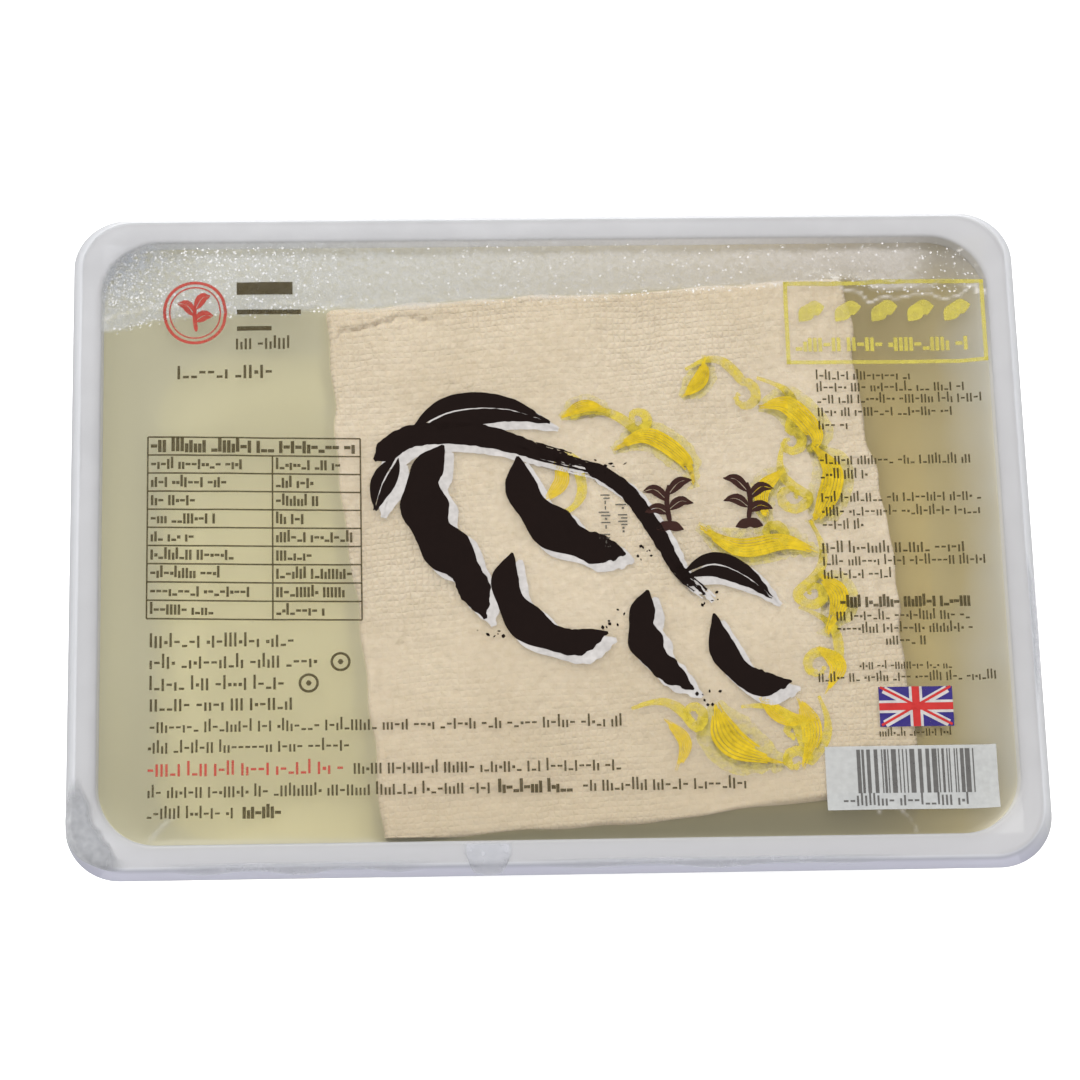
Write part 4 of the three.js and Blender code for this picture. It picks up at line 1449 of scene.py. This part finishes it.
ROWS = [  # left, right, middle, height of the marks
    (-77.6, -48.9, -21.4, 2.0), (-77.6, -44.8, -25.6, 2.0), (-77.6, -51.0, -30.0, 2.0),
    (-77.5, -49.7, -34.1, 2.0), (-77.5, 13.2, -38.5, 1.75), (-77.8, -39.2, -42.6, 1.75),
    (-38.9, 13.0, -47.2, 1.75), (-77.8, -12.5, -51.4, 1.75), (4.5, 36.0, -51.2, 1.75),
    (-77.9, -60.6, -55.6, 1.75),
    (52.9, 72.6, 32.3, 1.5), (52.9, 82.6, 29.8, 1.5), (52.9, 86.1, 27.3, 1.5), (52.9, 80.6, 24.6, 1.5),
    (52.9, 59.6, 21.8, 1.5), (52.8, 83.1, 14.4, 1.5), (52.8, 62.6, 11.4, 1.5), (52.7, 84.8, 6.6, 1.5),
    (52.7, 84.2, 3.7, 1.5), (52.7, 61.0, 0.9, 1.5), (52.4, 80.4, -3.9, 1.7), (52.4, 84.4, -6.6, 1.5),
    (52.4, 66.4, -9.3, 1.5), (54.4, 81.1, -17.9, 1.5), (54.4, 81.3, -20.5, 1.5),
    (63.7, 71.9, -23.0, 1.5),
    (58.3, 77.1, -28.1, 1.2), (50.3, 85.1, -30.4, 1.4), (61.4, 75.5, -41.6, 1.2),
]
BOLD_ROWS = [(55.4, 80.9, -15.1, 1.6), (-11.5, 3.6, -51.3, 1.75), (-59.8, -51.6, -55.6, 1.75)]
RED_ROW = (-77.8, -40.3, -47.0, 2.0)
SUBTITLE_ROW = (-72.6, -53.0, 34.5, 2.3)

type_boxes = [box for k, row in enumerate(ROWS + [SUBTITLE_ROW])
              for box in mark_row(*row, seed=100 + k)]
type_boxes += [box for k, row in enumerate(BOLD_ROWS) for box in mark_row(*row, 180 + k, BOLD)]
print("bars in the small type:", len(type_boxes))


# %% [markdown]
# ### Table, rings and label
#
# The table is a frame with ruled rows and one column line. Beside two short rows stands a plain
# ring with a dot. A whitish patch carries bars of uneven width, each a plain box, and the flag is
# built from a field, two diagonal bands and one upright cross.

# %% Table and rings
TABLE_LEFT, TABLE_RIGHT = -78.5, -37.2
TABLE_TOP, TABLE_BOTTOM = 20.9, -16.6
TABLE_SLOPE = -0.02       # the film lies a little askew there
COLUMN_X = -54.3
ROW_LINES = np.linspace(TABLE_TOP, TABLE_BOTTOM, 11)
RULE = 0.32

rules = [(TABLE_LEFT, y - RULE / 2, TABLE_RIGHT, y + RULE / 2) for y in ROW_LINES]
uprights = [(x - RULE / 2, TABLE_BOTTOM, x + RULE / 2, TABLE_TOP) for x in (TABLE_LEFT, TABLE_RIGHT)]
column = [(COLUMN_X - RULE / 2, TABLE_BOTTOM, COLUMN_X + RULE / 2, ROW_LINES[1])]
cells = mark_row(TABLE_LEFT + 0.9, TABLE_RIGHT - 0.3, ROW_LINES[:2].mean(), 1.9, 200, BOLD)
draw = np.random.default_rng(5)
for k, middle in enumerate((ROW_LINES[1:-1] + ROW_LINES[2:]) / 2):
    for edge, least, more, seed in ((TABLE_LEFT, 9, 13, 210 + k), (COLUMN_X, 6, 10, 230 + k)):
        cells += mark_row(edge + 0.9, edge + least + more * draw.random(), middle, 1.6, seed, 0.31)


def ring(centre, radius, width):
    """A closed ring: a stroke along a circle whose ends meet."""
    angle = np.radians(np.linspace(0, 360, 15))
    circle = np.array(centre) + radius * np.stack([np.cos(angle), np.sin(angle)], -1)
    return stroke(circle, lambda t: width / 2 + 0 * t, "ink", columns=3)


def disc(centre, radius):
    """A filled disc: one stroke whose half width is the circle's half chord."""
    line = [np.array(centre) + [x, 0] for x in (-radius, 0, radius)]
    return stroke(line, lambda t: radius * np.sqrt(np.maximum(1 - (2 * t - 1) ** 2, 0.002)), "ink")


type_shapes = [rectangles(type_boxes, "ink")]
for boxes in (rules, uprights, column, cells):
    type_shapes.append(rectangles(boxes, "ink", TABLE_SLOPE, TABLE_LEFT))
for place in ((-41.4, -25.8), (-47.5, -30.0)):
    type_shapes += [ring(place, 1.7, 0.5), disc(place, 0.55)]
print_piece("print_small_type", type_shapes, "type")
print_piece("print_red_row", [rectangles(mark_row(*RED_ROW, seed=250), "ink")], "red")

# %% Ink-jet stamp, bar patch and its bars
STAMP_COLUMNS = (10.3, 13.6)
STAMP_BOTTOM, STAMP_TOP = -3.0, 8.5
PATCH = (50.6, -56.9, 83.4, -44.2)
BARS = (56.6, -53.6, 79.0, -44.9)

stamp = []
for k, x in enumerate(STAMP_COLUMNS):
    lying = mark_row(STAMP_BOTTOM + 3 * k, STAMP_TOP - 2 * k, -x, 1.5, 255 + k, 0.2)
    stamp += [(-top, left, -bottom, right) for left, bottom, right, top in lying]
print_piece("print_stamp", [rectangles(stamp, "ink")], "stamp")


def bar_boxes(seed=9):
    """Bars of uneven width: widths and gaps of one to three modules, 95 modules in all."""
    draw = np.random.default_rng(seed)
    left, bottom, right, top = BARS
    module = (right - left) / 95
    boxes = []
    x = left
    while x < right:
        width = module * draw.choice([1, 2, 3, 4], p=[0.4, 0.3, 0.2, 0.1])
        boxes.append((x, bottom, min(x + width, right), top))
        x += width + module * draw.choice([1, 2, 3], p=[0.55, 0.3, 0.15])
    return boxes


print_piece("print_patch", [rectangles([PATCH], "under")], "patch")
foot_marks = mark_row(53.9, 78.9, -55.1, 1.7, 260, 0.22)
print_piece("print_bars", [rectangles(bar_boxes(), "ink"), rectangles(foot_marks, "ink")], "grey")

# %% Flag
FLAG = (61.5, -40.4, 75.7, -32.4)


def flag_cross(width, layer):
    """The upright cross of a flag: two boxes of one width through the field's middle."""
    left, bottom, right, top = FLAG
    x, y = (left + right) / 2, (bottom + top) / 2
    return [rectangles([(left, y - width / 2, right, y + width / 2)], layer),
            rectangles([(x - width / 2, bottom, x + width / 2, top)], layer)]


def flag_diagonals(width, layer, shift=0.0):
    """The diagonal bands: strokes from corner to corner, drawn in to stay inside the field."""
    left, bottom, right, top = FLAG
    middle = np.array([(left + right) / 2, (bottom + top) / 2 + shift])
    reach = np.array([right - left - 1.3 * width, top - bottom - 0.75 * width]) / 2
    lines = ([middle - reach, middle, middle + reach],
             [middle - reach * [1, -1], middle, middle + reach * [1, -1]])
    return [stroke(line, lambda t: width / 2 + 0 * t, layer, columns=4) for line in lines]


print_piece("print_flag_field", [rectangles([FLAG], "under")], "blue")
print_piece("print_flag_white", flag_diagonals(1.5, "ink") + flag_cross(2.5, "ink"), "white")
print_piece("print_flag_red", flag_diagonals(0.5, "over", 0.12) + flag_cross(1.45, "over"), "flag_red")

# %% [markdown]
# ### The painted sprig
#
# A wide brush full of ink leaves a full, dark stroke, and where it runs dry it breaks up into
# bristle lines and flecks. The sprig has a stem, broad leaves and pods that swell over each bean.
# Each is a band along a given curve, with its own formula for the width. The same shapes in
# white, moved right and down, lie below the black ones, as a light shadow.

# %% Brush work
SHADOW_SHIFT = np.array([1.6, -1.5])


def taper(full, start=0.12, end=0.3, tip=0.08):
    """Half width of a brush stroke: quickly full, then thinner towards its end."""
    return lambda t: full * (tip + (1 - tip) * smoothstep(t, 0, start)
                             * (1 - smoothstep(t, 1 - end, 1)))


def pod(full, beans=3):
    """Half width of a pod: an arch over its length, with a swelling over each bean."""
    return lambda t: full * np.sin(np.pi * np.clip(t, 0.004, 0.996)) ** 0.6 * (
        0.87 + 0.13 * np.cos(2 * np.pi * (beans * t - 0.5)))


def leaf(points, full, layer, grow=0.0, seed=1, rib=0.22):
    """A leaf: two bands, one on each side of a bare middle rib, widest before its middle."""
    def outer(t):
        return full * np.sin(np.pi * np.clip(t, 0.005, 0.995) ** 0.8) + grow + rib

    def inner(t):
        return rib * (1 - t) - grow

    return [band(points, inner, outer, layer, 0.12, seed),
            band(points, lambda t: -outer(t), lambda t: -inner(t), layer, 0.12, seed + 3)]


def bristles(points, full, layer, seed, count=8):
    """Lines that single bristles leave at a dry end: thin strokes side by side, which start and
    stop at random places in the last part of the curve."""
    draw = np.random.default_rng(seed)
    shapes = []
    for lane in np.linspace(-0.9, 0.9, count):
        start, stop = draw.uniform(0.62, 0.75), draw.uniform(0.84, 1.0)
        half = full * draw.uniform(0.05, 0.12)
        shapes.append(band(points, lambda t: lane * full * (1.15 - 0.5 * t) - half,
                           lambda t: lane * full * (1.15 - 0.5 * t) + half,
                           layer, 0.1, seed, 3, (start, stop)))
    return shapes


def flecks(places, seed, layer, count=7, spread=1.6):
    """Small flecks round the dry ends: short strokes of random size and direction."""
    draw = np.random.default_rng(seed)
    shapes = []
    for place in places:
        for _ in range(count):
            start = np.array(place) + draw.normal(0, spread, 2)
            angle = draw.uniform(0, np.pi)
            reach = draw.uniform(0.2, 0.9) * np.array([math.cos(angle), math.sin(angle)])
            width = draw.uniform(0.12, 0.42)
            line = [start, start + reach / 2, start + reach]
            shapes.append(stroke(line, lambda t: width * np.sin(np.pi * np.clip(t, 0.08, 0.92)),
                                 layer, columns=3))
    return shapes


# %% The sprig
STEMS = [   # points, half width, dry end
    ([(-34.5, 15.5), (-27, 20.5), (-14, 20.5), (-1, 16.5), (9, 13.5)], 2.3),
    ([(6, 14.5), (14, 9), (20, 0), (24, -8), (29, -13)], 1.6),
]
PODS = [    # points, half width, beans
    ([(-21, 18.5), (-25, 11), (-23.5, 1), (-17, -8), (-13.5, -17.5)], 5.0, 4),
    ([(-6.5, 16), (-5.5, 8), (0, 1), (7, -3), (14, -4.5)], 4.5, 3),
    ([(-8, -4), (-9.5, -11), (-5.5, -18.5), (2.5, -22.5), (10, -20.5)], 3.8, 3),
    ([(18, -12), (16.5, -19), (19, -26), (26, -32.5)], 3.5, 3),
    ([(30.5, -17), (32.5, -25.5), (38, -31), (45, -31)], 3.1, 2),
]
LEAVES = [  # points, half width
    ([(-27, 21.5), (-19, 25.5), (-9, 26), (0, 23)], 3.3),
    ([(-30, 16), (-33, 10.5), (-34.5, 5)], 2.2),
    ([(25, -9), (31, -7), (37, -9.5), (42, -14)], 2.4),
]


def sprig(shift, layer, grow=0.0):
    """Stems, pods and leaves, moved by shift and widened by grow."""
    shapes = []
    for k, (points, full) in enumerate(STEMS):
        width = taper(full, 0.08, 0.5, 0.2)
        line = np.array(points) + shift
        shapes.append(stroke(line, lambda t: width(t) + grow, layer, 0.35, 300 + k, 9))
        shapes += bristles(line, full, layer, 310 + k)
    for k, (points, full, beans) in enumerate(PODS):
        width = pod(full, beans)
        line = np.array(points) + shift
        shapes.append(stroke(line, lambda t: width(t) + grow, layer, 0.22, 320 + 20 * k, 13))
    for k, (points, full) in enumerate(LEAVES):
        shapes += leaf(np.array(points) + shift, full, layer, grow, 440 + 10 * k)
    return shapes


DRY_ENDS = [(11.5, 13.5), (-12.5, -19.5), (16.5, -4.5), (31, -14.5), (28, -34), (11.5, -19.5)]
print_piece("print_sprig_shadow", sprig(SHADOW_SHIFT, "under", 0.2), "white")
print_piece("print_sprig", sprig((0, 0), "ink") + flecks(DRY_ENDS, 401, "ink"), "black")


# %% Two small marks beside the sprig
SEEDLING_LEAVES = ([(0, 0.6), (-2.5, 3), (-5, 2.6)], [(0, 2), (2.3, 4.6), (4.8, 5)],
                   [(0, -2), (-2.2, -0.8), (-4.6, -1.6)], [(0, -1.2), (2.4, 0.6), (4.9, 0.2)])


def seedling(centre, side):
    """A bean with a stalk and four leaves; side is 1 or -1 and mirrors it."""
    def place(points):
        return np.array(centre) + np.array(points) * [side, 1]

    stalk = place([(0.2, -3.8), (-0.3, 0), (0.1, 4)])
    bean = place([(-2.6, -5.1), (0, -4.4), (2.8, -5.3)])
    shapes = [stroke(stalk, taper(0.5, 0.1, 0.2, 0.4), "ink", columns=4),
              stroke(bean, pod(1.25, 2), "ink", 0.05, 501)]
    for k, points in enumerate(SEEDLING_LEAVES):
        shapes += leaf(place(points), 1.05, "ink", seed=510 + k, rib=0.08)
    return shapes


print_piece("print_seedlings", seedling((22.6, 5.6), 1) + seedling((38.3, 6.0), -1), "brown")

# %% [markdown]
# ### Yellow tendrils and frame
#
# The yellow ink is thin, so it is bright over the pale curd and dull over the water. It draws
# climbing tendrils, each an arc that winds up into a spiral, and a ruled frame with beans in it.
# Three inks share the work: a fuller one for the dabs, a thin one for the tendrils, and a wash
# that has run out round the dabs.

# %% Yellow print
def tendril(start, end, bend, coil, turns, turn_from):
    """Points of a tendril: an arc from start to end, then a spiral that shrinks evenly."""
    start, end = np.array(start, dtype=float), np.array(end, dtype=float)
    t = np.linspace(0, 1, 6)[:, None]
    across = np.array([start[1] - end[1], end[0] - start[0]])
    sweep = start + (end - start) * t + bend * np.sin(np.pi * t) * across
    angle = np.radians(turn_from) + np.linspace(0, 2 * np.pi * abs(turns), 14) * np.sign(turns)
    radius = coil * (1 - np.linspace(0, 0.8, 14))
    middle = end - coil * np.array([math.cos(angle[0]), math.sin(angle[0])])
    spiral = middle + radius[:, None] * np.stack([np.cos(angle), np.sin(angle)], -1)
    return np.concatenate([sweep, spiral[1:]])


def dry_stroke(points, width, seed, lanes=7):
    """A stroke of a dry, wide brush: narrow lanes side by side with a hair's gap between them,
    each of which starts and stops at a place of its own."""
    draw = np.random.default_rng(seed)
    full = taper(width, 0.4, 0.5, 0.25)
    shapes = []
    for low, high in zip(np.linspace(-1, 1, lanes + 1)[:-1], np.linspace(-1, 1, lanes + 1)[1:]):
        outer = max(abs(low), abs(high))
        span = (draw.uniform(0, 0.22) * outer, 1 - draw.uniform(0.02, 0.4) * outer)
        near, far = low + draw.uniform(0, 0.02), high - draw.uniform(0.01, 0.05)
        shapes.append(band(points, lambda t: near * full(t), lambda t: far * full(t),
                           "under", 0.05, seed, 2, span))
    return shapes


TENDRILS = [   # start, end, bend, coil radius, turns, angle where the coil begins
    ((27, 34), (38, 31.5), 0.3, 3.4, -0.9, 90), ((41, 32), (47, 21), 0.3, 2.8, -1.0, 90),
    ((4, 24), (17, 21), 0.2, 2.6, 0.9, -90), ((46, 19), (50, 7), -0.25, 3.2, -1.1, 0),
    ((30, 1), (44, -3), -0.25, 2.6, 1.0, -60), ((50, 2), (47, -13), 0.25, 3.0, 1.1, 180),
    ((47, -16), (54, -28), 0.25, 3.6, 1.0, 0), ((14, -36), (26, -40), 0.25, 2.6, 0.9, -80),
    ((35, -36), (47, -44), 0.25, 3.4, 1.0, -60), ((-1, 3), (5, 14), -0.3, 2.2, 1.0, 0),
    ((50, -34), (47.6, -47), 0.2, 2.6, 1.0, 0),
]
DABS = [       # points, half width
    ([(26, 28), (30, 32), (31, 37)], 1.5), ([(41, 26), (47, 26), (52, 20), (51, 16)], 2.1),
    ([(12, 17), (19, 20), (26, 15), (28, 9)], 1.8), ([(2, 24), (7, 26.5), (12, 25)], 1.3),
    ([(51, 18), (55, 12), (53, 5), (50, 1)], 2.2), ([(28, 1), (36, -3.5), (45, -2.5), (52, -5)], 2.0),
    ([(46, 13), (41, 8), (42, 1)], 1.5), ([(51, -9), (55, -14), (52, -22)], 2.0),
    ([(30, -35), (33, -43), (43, -47.5)], 2.9), ([(46, -34), (48.4, -41), (46, -49)], 2.0),
    ([(50, -24), (54, -28), (51, -34)], 1.7), ([(-2, 6), (2, 11), (0, 16)], 1.5),
    ([(20, -38), (24, -43), (22, -49)], 1.3), ([(38, -33), (43, -38), (50, -39)], 1.6),
]
FRAME_BOX = (47.1, 34.8, 87.0, 52.3)
FRAME_LINE = 0.8
BEAN_LEFTS = np.linspace(50.0, 79.0, 5)
WASHED_DABS, WASH_SPREAD = 9, 1.9     # how many dabs have a wash, and how much wider it is

left, bottom, right, top = FRAME_BOX
lying = [(left, bottom, right, bottom + FRAME_LINE), (left, top - FRAME_LINE, right, top)]
standing = [(left, bottom, left + FRAME_LINE, top), (right - FRAME_LINE, bottom, right, top)]
thin = [rectangles(lying, "under"), rectangles(standing, "under")]
for k, x in enumerate(BEAN_LEFTS):
    bean = [(x, 44.0), (x + 2.4, 46.5), (x + 5.2, 47.2)]
    thin.append(stroke(bean, pod(1.9, 2), "under", 0.1, 660 + k))
thin.append(rectangles(mark_row(49.4, 84.6, 39.0, 2.2, 270, 0.34), "under"))
tendrils = [stroke(tendril(*settings), taper(1.0, 0.2, 0.5, 0.35), "under", 0.25, 600 + k, 5)
            for k, settings in enumerate(TENDRILS)]
dabs = [shape for k, (points, width) in enumerate(DABS)
        for shape in dry_stroke(points, width, 640 + k)]
wash = [stroke(points, taper(WASH_SPREAD * width, 0.3, 0.4, 0.3), "wash", 0.5, 680 + k, 9)
        for k, (points, width) in enumerate(DABS[:WASHED_DABS])]
print_piece("print_yellow_wash", wash, "yellow_wash")
print_piece("print_yellow_frame", thin, "frame_yellow")
print_piece("print_yellow_tendrils", tendrils, "pale_yellow")
print_piece("print_yellow_dabs", dabs, "yellow")

# %% [markdown]
# ### Head mark
#
# The back left corner of a lid carries the packer's mark. Here it is a plain seal, two thin red
# rings round a sprout, beside three dark bars and a row of marks. It balances the layout and
# names nobody.

# %% Head mark
SEAL = np.array([-69.4, 46.8])
HEAD_BARS = [(-61.2, 50.2, -50.2, 52.8), (-61.2, 46.4, -48.6, 47.3), (-61.2, 43.2, -54.4, 44.1)]

stalk = SEAL + [(0.2, -3.6), (-0.1, -1), (0, 1.4)]
red_shapes = [ring(SEAL, 6.0, 0.6), ring(SEAL, 5.0, 0.28),
              stroke(stalk, taper(0.4, 0.1, 0.3, 0.4), "ink", columns=3)]
for k, points in enumerate(([(0, -0.6), (-1.6, 1.4), (-3.4, 1.8)], [(0, 0.6), (1.4, 2.8), (3.0, 3.2)],
                            [(0, -1.6), (1.7, -0.5), (3.5, -0.6)])):
    red_shapes += leaf(SEAL + points, 0.95, "ink", seed=560 + k, rib=0.09)
head_boxes = HEAD_BARS + mark_row(-61.2, -50.0, 40.4, 1.9, 570)
print_piece("print_head_seal", red_shapes, "red")
print_piece("print_head_marks", [rectangles(head_boxes, "ink")], "type")

# %% [markdown]
# ## Floor and light
#
# The tub stands on a plain white table under soft light. One soft lamp behind the tub stands for
# the window: it shades the front of everything and throws the rim's shadow on the water. A weak
# lamp low behind it shows only in steep creases and drops, as small glints. A pale world fills
# the rest, dimmer in mirror reflections, or the glossy film would veil the dark ink.

# %% Stage
FLOOR_SIZE = 3.0
FLOOR_GLOW = 0.48          # a lit table: it keeps the shadow under the tub faint
WORLD_LIGHT, WORLD_MIRRORED = 1.15, 0.35
KEY_PLACE, KEY_SIZE, KEY_POWER = (-0.35, 1.4, 1.7), 0.6, 32.0
GLINT_PLACE, GLINT_SIZE, GLINT_POWER = (-0.6, 1.9, 1.0), 0.35, 1.8

floor_mesh = bpy.data.meshes.new("table_top")
half = FLOOR_SIZE / 2
corners = [(-half, -half, 0), (half, -half, 0), (half, half, 0), (-half, half, 0)]
floor_mesh.from_pydata(corners, [], [(0, 1, 2, 3)])
floor = bpy.data.objects.new("table_top", floor_mesh)
bpy.context.collection.objects.link(floor)
floor_material, _, floor_shader = new_material("table_white", Roughness=0.6)
floor_shader.inputs["Base Color"].default_value = (0.93, 0.93, 0.93, 1)
floor_shader.inputs["Emission Color"].default_value = (1, 1, 1, 1)
floor_shader.inputs["Emission Strength"].default_value = FLOOR_GLOW
floor_mesh.materials.append(floor_material)
floor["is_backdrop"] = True

world = bpy.data.worlds.new("studio")
world.use_nodes = True
background = world.node_tree.nodes["Background"]
background.inputs["Color"].default_value = (1.0, 1.0, 1.0, 1)
sky = world.node_tree
ray = sky.nodes.new("ShaderNodeLightPath")
dimming = times(sky, ray.outputs["Is Glossy Ray"], WORLD_MIRRORED - WORLD_LIGHT)
sky.links.new(math_node(sky, "ADD", dimming, WORLD_LIGHT), background.inputs["Strength"])
bpy.context.scene.world = world


def disk_lamp(name, place, size, power):
    """A round soft lamp at place, in metres, that looks at the tub."""
    data = bpy.data.lights.new(name, "AREA")
    data.shape, data.size, data.energy = "DISK", size, power
    lamp = bpy.data.objects.new(name, data)
    lamp.location = place
    lamp.rotation_euler = (-lamp.location).to_track_quat("-Z", "Y").to_euler()
    bpy.context.collection.objects.link(lamp)
    return lamp


window = disk_lamp("window", KEY_PLACE, KEY_SIZE, KEY_POWER)
window.visible_glossy = False        # its mirror image in the flat film would be a white blot
disk_lamp("glints", GLINT_PLACE, GLINT_SIZE, GLINT_POWER)
bpy.context.scene.view_settings.view_transform = "Standard"
print("stage ready")

# %% Measure the sizes
visual_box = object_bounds()
boxes = {"cad": cad_box, "visual": visual_box}
print("cad box", cad_box, "visual box", visual_box)
